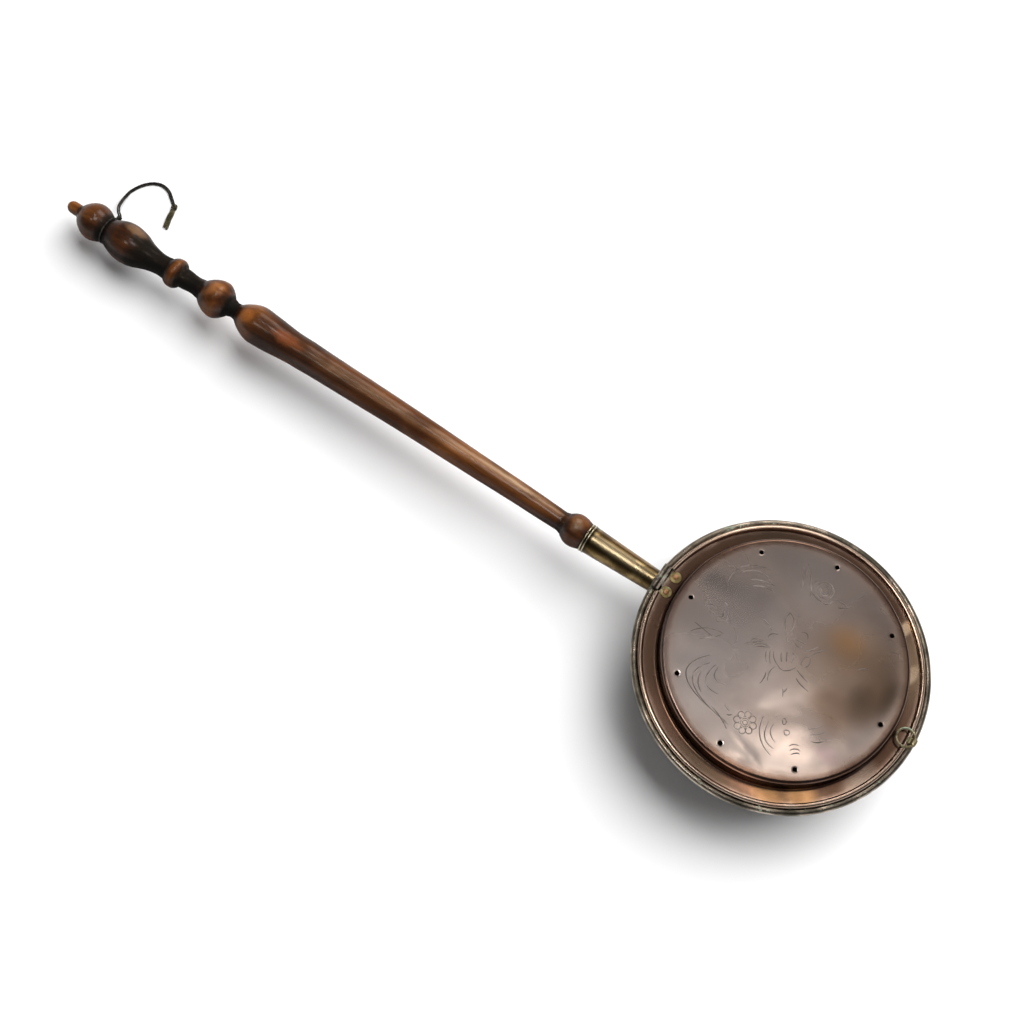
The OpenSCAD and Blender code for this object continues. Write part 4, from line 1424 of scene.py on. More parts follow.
@dataclass
class Lid:
    """Raised copper lid: crowned top, step, channel, rolled edge, vents and engraving."""

    palette: Palette
    growers: Growers
    rim_r: float = 145.62
    rim_z: float = 81.0
    curl_in: float = 1.75
    curl_out: float = 2.75
    thick: float = 1.0
    step_r: float = 127.82
    channel_z: float = 79.25
    step_h: float = 21.5
    crown_h: float = 3.5
    top_bend: float = 4.0
    foot_bend: float = 3.5
    notch: Flat = (-19.5, 9.5)
    notch_x: float = 143.97
    vent_r: float = 113.2
    vent_half: float = 2.5
    wander: tuple[float, ...] = (1, -2, -5, -10, -2, 2, 3, -1)
    sunk: float = 0.42
    least_dent: float = -0.02
    dents_fade: Flat = (112, 126)
    # height, fineness and seed of each wave of the sheet
    waves: tuple[tuple[float, float, float], ...] = ((0.34, 0.017, 3.1), (0.1, 0.05, 7.7))
    crease: tuple[Flat, ...] = ((4.5, 95.9), (-25, 105.1), (-45.3, 116.6))
    crease_half: float = 2.6
    crease_depth: float = 0.15
    crease_far_side: float = 0.55
    # x, y, size and depth of each hollow
    hollows: tuple[tuple[float, float, float, float], ...] = (
        (-15.6, 109.1, 9, 0.3), (-40, -52, 20, 0.5), (-82, 52, 16, 0.45), (66, 60, 26, 0.3), (-92, -14, 18, 0.5),
        (20, -60, 30, 0.25))
    stroke_lift: float = 0.03
    pressed_above: float = 0.08
    pressed_below: float = 0.5
    columns: int = 288
    crown_steps: int = 48
    curl_steps: int = 24
    block: int = 6

    @property
    def edge_z(self) -> float:
        """Height of the raised top's edge."""
        return self.channel_z + self.step_h

    @property
    def crown_r(self) -> float:
        """Radius at which the crowned top meets its bend."""
        return self.step_r - self.top_bend

    def crown_z(self, r: float) -> float:
        """Height of the crowned top at a radius."""
        return self.edge_z + self.crown_h * (1 - (r / self.crown_r) ** 2)

    def dent(self, x: float, y: float) -> float:
        """How far the hammered sheet lies below its true shape.

        Args:
            x: Place along X.
            y: Place along Y.

        Returns:
            A shift in millimetres, never above zero.
        """
        shift = -self.sunk + sum(high * noise.noise(Vector((x * fine, y * fine, seed)))
                                 for high, fine, seed in self.waves)
        crease = [Vector(p) for p in self.crease]
        here = Vector((x, y))
        for a, b in zip(crease, crease[1:]):
            t = min(1.0, max(0.0, (here - a).dot(b - a) / (b - a).length_squared))
            gap = here - (a + (b - a) * t)
            side = 1 if gap.y > 0 else self.crease_far_side
            shift -= self.crease_depth * math.exp(-(gap.length / self.crease_half) ** 2) * side
        for cx, cy, size, deep in self.hollows:
            shift -= deep * math.exp(-((x - cx) ** 2 + (y - cy) ** 2) / size ** 2)
        return min(self.least_dent, shift) * (1 - ease(*self.dents_fade, math.hypot(x, y)))

    def outline(self) -> tuple[list[Flat], int, int]:
        """Outline of the lid's sheet, from its top to its underside, without the middle points.

        Returns:
            The outline, the number of the last channel point on top and of the first one below.
        """
        crown_rs = [self.crown_r * i / self.crown_steps for i in range(1, self.crown_steps + 1)]
        crown = [(r, self.crown_z(r)) for r in crown_rs]
        bend = (self.crown_r, self.edge_z - self.top_bend)
        foot = (self.step_r + self.foot_bend, self.channel_z + self.foot_bend)
        top_arc = arc(bend, self.top_bend, 86, 0, 10)
        foot_arc = arc(foot, self.foot_bend, 180, 270, 10)
        end = (self.rim_r, self.channel_z)
        top = crown + top_arc + stretch(top_arc[-1], foot_arc[0], 6) + foot_arc + stretch(foot_arc[-1], end, 7) + [end]
        curl = (self.rim_r, self.rim_z)
        roll = (arc(curl, self.curl_in, -90, 205, self.curl_steps)[1:]
                + arc(curl, self.curl_out, 205, -90, self.curl_steps)[:-1])
        low_arc = arc(bend, self.top_bend - self.thick, 86, 0, 10)
        low_foot = arc(foot, self.foot_bend + self.thick, 180, 270, 10)
        low_end = (self.rim_r, self.channel_z - self.thick)
        low = ([(r, z - self.thick) for r, z in crown] + low_arc + stretch(low_arc[-1], low_foot[0], 6)
               + low_foot + stretch(low_foot[-1], low_end, 7) + [low_end])
        return top + roll + low[::-1], len(top) - 1, len(top) + len(roll)

    def build(self) -> None:
        """Makes the lid's shell, burrs and engraving, and dresses the wire in its edge."""
        self.shell()
        self.burrs()
        self.engraving()
        dress("lid_rim_wire", self.palette.iron)

    def vents(self) -> list[Vector]:
        """Middles of the vent holes, on the top face."""
        angles = [math.radians(45 * i + turn) for i, turn in enumerate(self.wander)]
        return [Vector((self.vent_r * math.cos(a), self.vent_r * math.sin(a), self.crown_z(self.vent_r)))
                for a in angles]

    def shell(self) -> None:
        """Makes the sheet of the lid, with true vent holes and the cut-out for the hinge."""
        outline, last, first_low = self.outline()
        n = self.columns
        steps = around(n)
        columns = {}
        for y in self.notch:
            columns[y] = min(range(n), key=lambda j: abs(math.sin(steps[j]) * self.rim_r - y)
                             + (1000 if math.cos(steps[j]) < 0 else 0))
        start, stop = columns[self.notch[0]], columns[self.notch[1]]
        cut = [j % n for j in range(start, stop + (n if stop < start else 0))]
        edges = {start: self.notch[0], stop: self.notch[1]}
        points: list[Vector] = []
        for i, (r, z) in enumerate(outline):
            for j, a in enumerate(steps):
                x, y = r * math.cos(a), r * math.sin(a)
                if j in edges and r > 140:
                    y = edges[j]
                    x = math.sqrt(r * r - y * y)
                elif j in cut and i in (last, first_low):
                    x, y = self.notch_x, self.notch_x * math.tan(a)
                points.append(Vector((x, y, z + self.dent(x, y))))
        faces: list[Sequence[int]] = []
        holes, blocks = self.hole_blocks(outline)
        for i in range(len(outline) - 1):
            for j in range(n):
                if (last <= i < first_low and j in cut) or (i, j) in blocks:
                    continue
                k = (j + 1) % n
                faces.append((i * n + j, i * n + k, (i + 1) * n + k, (i + 1) * n + j))
        high, low = len(points), len(points) + 1
        points += [Vector((0, 0, self.crown_z(0) + self.dent(0, 0))),
                   Vector((0, 0, self.crown_z(0) - self.thick + self.dent(0, 0)))]
        end = (len(outline) - 1) * n
        for j in range(n):
            k = (j + 1) % n
            faces += [(high, j, k), (low, end + k, end + j)]
        for j in cut:
            k = (j + 1) % n
            faces.append((last * n + j, last * n + k, first_low * n + k, first_low * n + j))
        for j in (start, stop):
            for m in range(self.curl_steps):
                inner, outer = last + m, first_low - m
                faces.append((inner * n + j, (inner + 1) * n + j, (outer - 1) * n + j, outer * n + j))
        self.punch(points, faces, holes, outline)
        lid = mesh_piece("copper_lid", points, faces, self.palette.lid)
        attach(lid, "lid")
        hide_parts("lid_shell")
        LOG.info("copper_lid: %d faces", len(faces))

    def hole_blocks(self, outline: list[Flat]) -> tuple[list[tuple[int, int]], set[tuple[int, int]]]:
        """Blocks of faces that make way for the vent holes.

        Args:
            outline: Outline of the sheet.

        Returns:
            First ring and column of each block, and every (ring, column) taken out, above and below.
        """
        ring = min(range(self.crown_steps), key=lambda i: abs(outline[i][0] - self.vent_r)) - self.block // 2
        holes, blocks = [], set()
        for hole in self.vents():
            column = round(math.atan2(hole.y, hole.x) / math.tau * self.columns) - self.block // 2
            holes.append((ring, column))
            for i in range(ring, ring + self.block):
                for j in range(column, column + self.block):
                    blocks |= {(i, j % self.columns), (len(outline) - 2 - i, j % self.columns)}
        return holes, blocks

    def punch(self, points: list[Vector], faces: list[Sequence[int]], holes: list[tuple[int, int]],
              outline: list[Flat]) -> None:
        """Fills each block of missing faces with a round hole through the sheet.

        Args:
            points: Points of the sheet, added to.
            faces: Faces of the sheet, added to.
            holes: First ring and column of each block.
            outline: Outline of the sheet.
        """
        n, total, b = self.columns, len(outline), self.block
        for (ring, column), middle in zip(holes, self.vents()):
            walk = ([(ring, column + m) for m in range(b)] + [(ring + m, column + b) for m in range(b)]
                    + [(ring + b, column + b - m) for m in range(b)] + [(ring + b - m, column) for m in range(b)])
            loops: list[list[int]] = []
            for below in (False, True):
                edge = [((total - 1 - i) if below else i) * n + j % n for i, j in walk]
                turns = [math.atan2(points[e].y - middle.y, points[e].x - middle.x) for e in edge]
                loops.append(edge)
                for radius, sink in ((4.2, 0.0), (2.8, 0.02), (self.vent_half, 0.12)):
                    first = len(points)
                    for a in turns:
                        x, y = middle.x + radius * math.cos(a), middle.y + radius * math.sin(a)
                        z = self.crown_z(math.hypot(x, y)) + self.dent(x, y) - (self.thick if below else sink)
                        points.append(Vector((x, y, z)))
                    loops.append(list(range(first, len(points))))
            for upper, lower in ((0, 1), (1, 2), (2, 3), (4, 5), (5, 6), (6, 7), (3, 7)):
                pairs = list(zip(loops[upper], loops[lower]))
                faces += [(a, c, d, b) for (a, b), (c, d) in zip(pairs, pairs[1:] + pairs[:1])]

    def burrs(self) -> None:
        """Sets a sooty burr round each vent hole."""
        middles = self.vents()
        fall = 2 * self.crown_h
        facing = [tuple(Vector((fall * m.x / self.crown_r ** 2, fall * m.y / self.crown_r ** 2, 1)).normalized())
                  for m in middles]
        seats = [Vector((m.x, m.y, m.z + self.dent(m.x, m.y) - 0.12)) for m in middles]
        piece = self.growers.grow("vent_burrs", self.growers.burrs, seats, [], {"facing": facing},
                                  {"Hole Radius": (self.vent_half + 0.02) * MM, "Burr": 0.16 * MM, "Seed": 4,
                                   "Finish": self.palette.burr})
        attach(piece, "lid")
        LOG.info("vent_burrs: %d", len(middles))

    def engraving(self) -> None:
        """Makes the worn engraving: rosettes, flower, waves and leaves, pressed flat on the top."""
        chains: list[Chain] = []
        for marks in ENGRAVING.values():
            for a, b, c in marks:
                control = (2 * b[0] - (a[0] + c[0]) / 2, 2 * b[1] - (a[1] + c[1]) / 2)
                line = []
                for i in range(15):
                    t = i / 14
                    line.append(tuple(a[k] * (1 - t) ** 2 + 2 * control[k] * t * (1 - t) + c[k] * t * t
                                      for k in range(2)))
                chains.append(self.stroke(line, Motif.STROKE))
        for (x, y), radius, kind in ROSETTES:
            chains += self.rosette(x, y, radius, kind)
        piece = self.growers.tubes("worn_engraving", chains, 6, self.palette.engraved, crease=80)
        for point in piece.data.vertices:
            x, y = point.co.x / MM, point.co.y / MM
            top = self.crown_z(math.hypot(x, y)) + self.dent(x, y)
            rise = point.co.z / MM - top
            pressed = rise * (self.pressed_above if rise > 0 else self.pressed_below)
            point.co.z = (top + self.stroke_lift + pressed) * MM
        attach(piece, "lid")
        LOG.info("worn_engraving: %d strokes", len(chains))

    def stroke(self, line: Sequence[Flat], kind: Motif, width: float = 0.6) -> Chain:
        """Turns a line on the top into a tapered stroke, which engraving() then presses flat.

        Args:
            line: Points of the line.
            kind: Kind of mark; only a plain stroke tapers.
            width: Half width at its widest.

        Returns:
            The chain for the stroke.
        """
        last = len(line) - 1
        chain: Chain = []
        for i, (x, y) in enumerate(line):
            half = width * (0.45 + 0.55 * math.sin(math.pi * i / last)) if kind is Motif.STROKE else width
            z = self.crown_z(math.hypot(x, y)) + self.dent(x, y)
            chain.append((Vector((x, y, z)), half))
        return chain

    def rosette(self, x: float, y: float, radius: float, kind: Motif) -> list[Chain]:
        """Strokes of a rosette: rings in the middle and lobes round them.

        Args:
            x: Middle along X.
            y: Middle along Y.
            radius: Outside radius.
            kind: A full rosette, or only its rings.

        Returns:
            The strokes.
        """
        strokes = [self.stroke(arc((x, y), radius * share, 0, 350, 28), Motif.RING, 0.4)
                   for share in ((0.2, 0.36) if kind is Motif.ROSETTE else (0.42, 0.62, 0.95))]
        if kind is Motif.ROSETTE:
            for i in range(8):
                a = 45 * i + 12
                lobe = (x + radius * 0.72 * math.cos(math.radians(a)), y + radius * 0.72 * math.sin(math.radians(a)))
                strokes.append(self.stroke(arc(lobe, radius * 0.27, a - 150, a + 150, 16), Motif.RING, 0.42))
                strokes.append(self.stroke(arc((x, y), radius * 0.5, a + 8, a + 37, 6), Motif.RING, 0.36))
        return strokes


ROSETTES: tuple[tuple[Flat, float, Motif], ...] = (
    ((0.4, 81.2), 12.0, Motif.ROSETTE), ((3.8, -83.8), 9.5, Motif.RING))

ENGRAVING: dict[str, tuple[tuple[Flat, Flat, Flat], ...]] = {
    "stem": (
        ((21.5, -42), (20.5, -30.5), (11.5, -21)), ((21.5, -42), (12.5, -35), (11, -21.5)),
        ((10.5, -19.5), (9, -15.5), (5, -15)), ((39.5, 7.5), (36.5, 1.5), (29, -1)),
        ((42.5, 11.5), (34.5, 4.5), (28.5, -1)), ((35, 10.5), (29.5, 3), (20, 1.5)),
        ((34, 9), (27.5, 5.5), (20.5, 1.5)), ((26, -7), (26, -11.5), (19.5, -15.5)),
        ((-10.5, -15.5), (-16.5, -20.5), (-20.5, -28.5)), ((-18, -13.5), (-22.5, -22), (-29, -29.5)),
        ((-15.5, 0), (-15, -9.5), (-19, -13.5)), ((-17, 1), (-22, -5), (-20, -13)),
        ((5.5, -20.5), (-1, -22), (-9, -22.5)), ((2.5, -18), (-4.5, -16), (-7, -20)),
        ((-15, 5.5), (-22, 8), (-31, 10)), ((-18.5, 13), (-24.5, 16), (-35.5, 18)), ((5, 15.5), (7, 23), (4, 32)),
        ((10, 25.5), (8.5, 31.5), (9, 39)), ((5, 11.5), (-4.5, 13.5), (-12.5, 4)),
        ((42, -19.5), (36, -19.5), (27, -15)), ((1.5, -31), (-4, -33), (-7.5, -28.5)),
        ((-12, 30), (-14.5, 32.5), (-17, 37.5)), ((-16, 27.5), (-16, 30.5), (-15, 33.5))),
    "bud": (
        ((21, 6.5), (18, 12.5), (15, 16)), ((17.5, 4.5), (14.5, 10.5), (11, 15)),
        ((14.5, 2), (10.5, 8.5), (4.5, 12.5)), ((7.5, -0.5), (4.5, 4.5), (2, 7.5)), ((3, -4.5), (0, 1), (-1.5, 4.5)),
        ((-2, -7.5), (-6, -3), (-6.5, 2.5))),
    "left_waves": (
        ((65.5, 42.5), (73, 75.5), (17, 91)), ((61.5, 49.5), (64, 77), (13.5, 92.5)),
        ((55.5, 48), (55, 68), (37.5, 72)), ((52, 49), (49.5, 59.5), (38.5, 60)), ((64, 62), (61, 72.5), (53, 79.5))),
    "top_waves": (
        ((91, -34), (86, -58), (61.5, -70.5)), ((87, -47), (73, -60.5), (55, -61.5)),
        ((72.5, -49.5), (62, -55), (49, -58)), ((67, -45), (57, -50.5), (47, -51))),
    "top_strokes": (
        ((35.5, -93), (29, -82), (25.5, -72)), ((32.5, -98.5), (22, -85.5), (13.5, -69.5)),
        ((16, -88), (15.5, -75.5), (0.5, -71)), ((-1.5, -71), (-5.5, -72.5), (-8.5, -78.5))),
    "left_leaves": (
        ((95, 33), (82.5, 20), (66, 16)), ((83.5, 34), (74, 26), (67, 18)), ((96.5, 22), (83, 23.5), (69.5, 25))),
    "lower_waves": (
        ((-11.5, 65), (-19, 84.5), (-37.5, 94.5)), ((-18.5, 66.5), (-23.5, 82.5), (-36.5, 87)),
        ((-24, 66.5), (-25.5, 75), (-34.5, 81)), ((-59.5, 54.5), (-67, 48), (-70, 43)),
        ((-64, 59.5), (-71.5, 55.5), (-75.5, 48.5)), ((-54.5, 51.5), (-60.5, 45.5), (-65, 39))),
    "right_leaves": (
        ((-16, -75.5), (-23.5, -80), (-28, -85)), ((-10, -81.5), (-18.5, -82.5), (-22.5, -81.5)),
        ((-66, -31), (-70, -35), (-75, -37))),
    "small": (
        ((-29, 56.5), (-30, 55), (-32, 55.5)), ((-32, 55.5), (-33.5, 57), (-33.5, 59.5)),
        ((-33.5, 59.5), (-31.5, 60.5), (-29, 56.5)), ((-35.5, 65.5), (-37.5, 64), (-39.5, 63)),
        ((-39.5, 63), (-41.5, 64.5), (-41.5, 66.5)), ((-41.5, 66.5), (-39, 68.5), (-35.5, 65.5)),
        ((-48, 76.5), (-50.5, 72.5), (-56, 70)), ((-51, 79.5), (-54.5, 75), (-60, 74)),
        ((-54, 82.5), (-57.5, 78), (-61, 77)), ((26.5, 77.5), (23.5, 79), (20, 80.5)),
        ((20, 84.5), (17, 83.5), (16, 81.5)), ((19, 92), (14.5, 95.5), (12, 96.5)), ((37, 86), (25, 90), (13, 97))),
    "hinge_rosette": (
        ((94, -2.5), (89, -4), (85.5, -1)), ((91, 3), (87.5, 4), (86, 2)), ((80.5, 3.5), (76, 0.5), (78, -3)),
        ((80.5, 3.5), (78.5, 8), (74.5, 6.5)), ((74.5, 6.5), (70.5, 2), (72.5, -2)),
        ((82, -12.5), (79, -12), (78, -9))),
}


# ---- Lid hinge ----


@dataclass
class LidHinge:
    """Hinge over the handle, its roves and clenched rivets."""

    palette: Palette
    growers: Growers
    rivet_x: float = 137.57
    rivets_y: Flat = (-14.5, 4.5)
    seat_z: float = 79.25
    rove_r: float = 6.2
    rove_t: float = 0.9
    leaf_below: float = 2.2
    shank_r: float = 1.9
    # height and radius of the rivets' turned ends
    dome: tuple[Flat, ...] = ((0.0, 2.9), (0.12, 2.9), (0.3, 2.6), (0.48, 1.9), (0.58, 1.0), (0.6, 0.05))
    head: tuple[Flat, ...] = ((1.2, 0.05), (1.15, 1.0), (0.9, 2.2), (0.45, 3.1), (0.08, 3.5), (0.0, 3.5))

    def build(self) -> None:
        """Makes the roves and rivets and dresses the leaves and the pin."""
        r, t, z = self.rove_r, self.rove_t, self.seat_z
        rove = [(0.02, r - 0.3), (0.04, r - 0.06), (0.3, r), (t - 0.25, r - 0.03), (t - 0.06, r - 0.22),
                (t, r - 0.6), (t + 0.02, 2.0), (t + 0.02, 0.01)]
        roves = self.growers.tubes("brass_roves", [[(Vector((self.rivet_x, y, z + h)), half) for h, half in rove]
                                                   for y in self.rivets_y], 48, self.palette.rove, crease=60)
        for point in roves.data.vertices:
            middle = min(self.rivets_y, key=lambda y: abs(point.co.y / MM - y))
            away = Vector((point.co.x - self.rivet_x * MM, point.co.y - middle * MM, 0))
            point.co += away * 0.02 * noise.noise(point.co * 260)
        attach(roves, "lid")
        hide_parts("lid_hinge_roves")
        top, low = z + t, z - self.leaf_below
        dome = [(top + h, half) for h, half in self.dome]
        head = [(low - h, half) for h, half in self.head]
        turned = head + [(low + 0.02, self.shank_r), (top - 0.02, self.shank_r)] + dome
        chains = [[(Vector((self.rivet_x, y, h)), half) for h, half in turned] for y in self.rivets_y]
        rivets = self.growers.tubes("copper_lid_rivets", chains, 32, self.palette.rivet, crease=60)
        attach(rivets, "lid")
        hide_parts("lid_hinge_rivets")
        dress("hinge_pan_leaf", self.palette.hinge)
        dress("hinge_lid_leaf", self.palette.hinge)
        dress("hinge_pin", self.palette.iron)
        LOG.info("roves and rivets made")


# ---- Ferrule ----


@dataclass
class Ferrule:
    """Tapered brass socket with a beaded mouth, its flange and rivets."""

    grip: Grip
    palette: Palette
    growers: Growers
    foot_x: float = 146.3
    foot_d: float = 24.0
    mouth_x: float = 239.5
    mouth_d: float = 31.2
    thick: float = 1.2
    lean: float = 10.0
    wall_top: Flat = (149.186, 78.408)
    flange_out: float = 1.65
    bead: float = 1.4
    tube_length: float = 82.0
    tube_rings: int = 21
    ring_gap: float = 3.8
    # flare and lift of each ring of the brazed fillet
    fillet: tuple[Flat, ...] = ((2.1, 0.02), (1.0, 0.35), (0.35, 1.1))
    rivet_ring: float = 20.0
    rivet_angles: tuple[float, ...] = (-10, -52, -128, -170)
    # distance along and radius of the rivets' turned ends
    rivet_back: tuple[Flat, ...] = ((-1.1, 0.05), (-1.0, 1.4), (-0.7, 2.4), (-0.1, 3.3), (0, 3.3))
    rivet_front: tuple[Flat, ...] = ((0, 3.3), (0.12, 3.3), (0.5, 3.0), (0.95, 2.3), (1.3, 1.3), (1.48, 0.05))
    leaf_back: float = -2.6
    shank_r: float = 1.8
    sides: int = 80

    def radius(self, x: float) -> float:
        """Outside radius of the plain taper at a distance from the pan's centre."""
        share = (x - self.foot_x) / (self.mouth_x - self.foot_x)
        return (self.foot_d + (self.mouth_d - self.foot_d) * share) / 2

    def wall(self, z: float, out: float = 0.0) -> float:
        """Radius of a face that lies out from the pan's wall, at a height."""
        lean = math.radians(self.lean)
        return self.wall_top[0] - (self.wall_top[1] - z) * math.tan(lean) + out / math.cos(lean)

    def build(self) -> None:
        """Makes the socket and the rivets, and dresses the flange and the nail."""
        self.socket()
        self.rivets()
        dress("socket_plate", self.palette.plate)
        dress("socket_pin", self.palette.iron)

    def foot_point(self, angle: float, flare: float) -> Vector:
        """Point where the taper meets the flange.

        Args:
            angle: Angle round the handle in radians.
            flare: Extra radius of the brazed fillet.

        Returns:
            The point in millimetres.
        """
        x = 150.0
        for _ in range(12):
            r = self.radius(x) + flare
            p = self.grip.place(x, r * math.cos(angle), r * math.sin(angle))
            x += self.wall(p.z, self.flange_out) - math.hypot(p.x, p.y)
        return p

    def socket(self) -> None:
        """Makes the tapered tube with a fillet at its foot and two beads at its mouth."""
        mouth, r, bead = self.mouth_x, self.radius(self.mouth_x), self.bead
        outer: list[Flat] = [(x, self.radius(x)) for x in (mouth - self.tube_length + i * self.ring_gap
                                                           for i in range(self.tube_rings))]
        near, far = mouth - 3.2 * bead, mouth - bead
        outer = [p for p in outer if p[0] < near - 1.4]
        outer += arc((near, self.radius(near) - 0.7), bead, 150, 30, 10)
        outer += arc((far, self.radius(far) - 0.7), bead, 150, 0, 12)
        inner = [(mouth, r - self.thick)] + [(x, self.radius(x) - self.thick)
                                            for x in (mouth - i * 10 for i in range(1, 9))]
        turns = around(self.sides)
        points = [self.foot_point(a, flare) + Vector((lift, 0, 0)) for flare, lift in self.fillet for a in turns]
        for x, half in outer:
            for a in turns:
                wave = 0.02 * noise.noise(Vector((x * 0.05, 2 * math.cos(a), 2 * math.sin(a)))) if x < near - 3 else 0
                points.append(self.grip.place(x, (half + wave) * math.cos(a), (half + wave) * math.sin(a)))
        points += [self.grip.place(x, half * math.cos(a), half * math.sin(a)) for x, half in inner for a in turns]
        points += [self.foot_point(a, -self.thick) + Vector((0.05, 0, 0)) for a in turns]
        rings = len(points) // self.sides
        tube = mesh_piece("brass_socket", points, ring_faces(rings, self.sides, closed=True), self.palette.socket, 60)
        worn = tube.data.attributes.new("worn", "FLOAT", "POINT")
        for item, point in zip(worn.data, points):
            along = self.grip.along(point)
            crest = max(1.0 - abs(along - middle) / (0.5 * bead) for middle in (near, far))
            item.value = 0.0 if along < near - 2 * bead else max(-1.0, crest)
        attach(tube, "pan")
        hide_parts("socket_tube")
        LOG.info("brass_socket: %d rings", rings)

    def rivets(self) -> None:
        """Grows the four flange rivets along the wall's own direction."""
        lean = math.radians(self.lean)
        front, back, shank = self.flange_out, self.leaf_back, self.shank_r
        steps = ([(back + d, half) for d, half in self.rivet_back] + [(back + 0.02, shank), (front - 0.02, shank)]
                 + [(front + d, half) for d, half in self.rivet_front])
        chains: list[Chain] = []
        foot_z = self.grip.height - self.foot_x * math.tan(math.radians(self.grip.slope))
        for angle in self.rivet_angles:
            y = self.grip.line_y + self.rivet_ring * math.cos(math.radians(angle))
            z = foot_z + self.rivet_ring * math.sin(math.radians(angle))
            base = self.wall(z)
            turn = math.asin(y / base)
            seat = Vector((base * math.cos(turn), base * math.sin(turn), z))
            out = Vector((math.cos(lean) * math.cos(turn), math.cos(lean) * math.sin(turn), -math.sin(lean)))
            chains.append([(seat + out * d, half) for d, half in steps])
        piece = self.growers.tubes("brass_flange_rivets", chains, 28, self.palette.plate, crease=60)
        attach(piece, "pan")
        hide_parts("plate_rivets")
        LOG.info("brass_flange_rivets: %d", len(chains))


# ---- Turned handle ----


@dataclass(frozen=True)
class Turning:
    """One stretch of the turned outline."""

    length: float
    radius: float
    shape: Turn
    steps: int


@dataclass
class TurnedHandle:
    """Long handle turned from one piece of wood, with its tenon in the socket."""

    grip: Grip
    palette: Palette
    growers: Growers
    ferrule: Ferrule
    start: float = 239.6
    shoulder_r: float = 15.1
    tenon: float = 62.0
    sides: int = 72
    # depth of the painted shade on the side turned towards +Y
    painted_shade: float = 0.16
    # half width in degrees of the painted sheen band
    sheen_half: float = 16.0
    dull: float = 0.05
    turnings: tuple[Turning, ...] = (
        Turning(12.75, 18.25, Turn.BEAD, 16), Turning(12.75, 12.4, Turn.FALL, 16), Turning(5.1, 11.2, Turn.COVE, 8),
        Turning(330, 16.9, Turn.LINE, 90), Turning(61, 20.9, Turn.COVE, 30), Turning(29, 9.6, Turn.FALL, 26),
        Turning(4.2, 9.1, Turn.COVE, 6), Turning(6.3, 10.6, Turn.COVE, 8), Turning(16, 21.1, Turn.BEAD, 20),
        Turning(21.5, 11.3, Turn.FALL, 22), Turning(8.833, 10.2, Turn.COVE, 8), Turning(17.667, 11.6, Turn.COVE, 12),
        Turning(7.03, 16.8, Turn.BEAD, 12), Turning(11.47, 12.4, Turn.FALL, 14), Turning(8, 11.9, Turn.COVE, 8),
        Turning(47, 21.35, Turn.COVE, 30), Turning(28, 13.7, Turn.FALL, 24), Turning(17, 20.2, Turn.BEAD, 20),
        Turning(21.5, 7.9, Turn.FALL, 22), Turning(2.55, 7.1, Turn.COVE, 6), Turning(6.8, 7.1, Turn.LINE, 5),
        Turning(7.65, 1.0, Turn.DOME, 16))
    # each table below: distance from the pan's centre, then the value there
    tones: tuple[Flat, ...] = (
        (239, 0.45), (246, 0.68), (256, 0.74), (264, 0.4), (268, 0.36), (274, 0.6), (300, 0.7), (400, 0.78),
        (500, 0.78), (560, 0.68), (590, 0.6), (610, 0.66), (640, 0.56), (655, 0.6), (668, 0.8), (680, 0.82),
        (687, 0.5), (692, 0.06), (701, 0.04), (706, 0.5), (714, 0.86), (722, 0.84), (731, 0.6), (738, 0.12),
        (745, 0.03), (762, 0.03), (766, 0.1), (769, 0.55), (772, 0.8), (776, 0.7), (779, 0.3), (783, 0.06),
        (800, 0.05), (814, 0.14), (824, 0.34), (834, 0.58), (848, 0.56), (858, 0.36), (865, 0.06), (869, 0.14),
        (876, 0.54), (886, 0.7), (898, 0.66), (904, 0.45), (908, 0.9), (921, 1.05))
    # strength and angle round the axis of the painted sheen band, which stands in for a broad highlight along the
    # shaft
    sheen_strength: tuple[Flat, ...] = ((264, 0), (285, 0.4), (330, 0.9), (400, 0.32), (470, 0.28), (540, 0.25), (600, 0.1),
                                (640, 0))
    sheen_side: tuple[Flat, ...] = ((264, 106), (347, 106), (470, 84), (640, 80))
    bow: tuple[Flat, ...] = (
        (240, 0), (340, 1.3), (480, 2.3), (580, 1.8), (640, 0.9), (700, 1.6), (760, 0.9), (815, -0.8), (850, 0),
        (866, 0), (890, 0.7), (921, 1.2))
    fullness: tuple[Flat, ...] = (
        (240, 0), (252, -0.1), (268, 0), (290, 0.2), (580, 0.3), (600, 0.7), (625, 0.2), (650, 0.2), (668, 0.8),
        (682, 0.4), (690, 0), (706, 0), (716, 0.6), (730, 0.4), (742, 0), (768, 0), (778, 0.9), (786, 0.2),
        (812, 0), (824, 0.9), (846, 1.1), (860, 0.3), (866, 0), (872, 0.4), (886, 0.9), (899, 0.9), (906, 0),
        (921, 0))

    def profile(self) -> list[Flat]:
        """Distance from the pan's centre and radius of each ring of the handle.

        Returns:
            The pairs, from the tenon to the button.
        """
        inside = self.ferrule.thick + 0.1
        tenon_x = self.start - 0.1 - self.tenon
        rings: list[Flat] = [(tenon_x, 4.0), (tenon_x + 0.02, self.ferrule.radius(tenon_x) - inside - 1),
                             (tenon_x + 1, self.ferrule.radius(tenon_x + 1) - inside),
                             (self.start - 0.02, self.ferrule.radius(self.start) - inside),
                             (self.start, self.shoulder_r)]
        x, radius = self.start, self.shoulder_r
        for turning in self.turnings:
            for i in range(1, turning.steps + 1):
                t = i / turning.steps
                if turning.shape is Turn.DOME:
                    t = math.sin(t * math.pi / 2)
                rings.append((x + turning.length * t, radius + (turning.radius - radius) * turning.shape.share(t)))
            x, radius = x + turning.length, turning.radius
        return rings

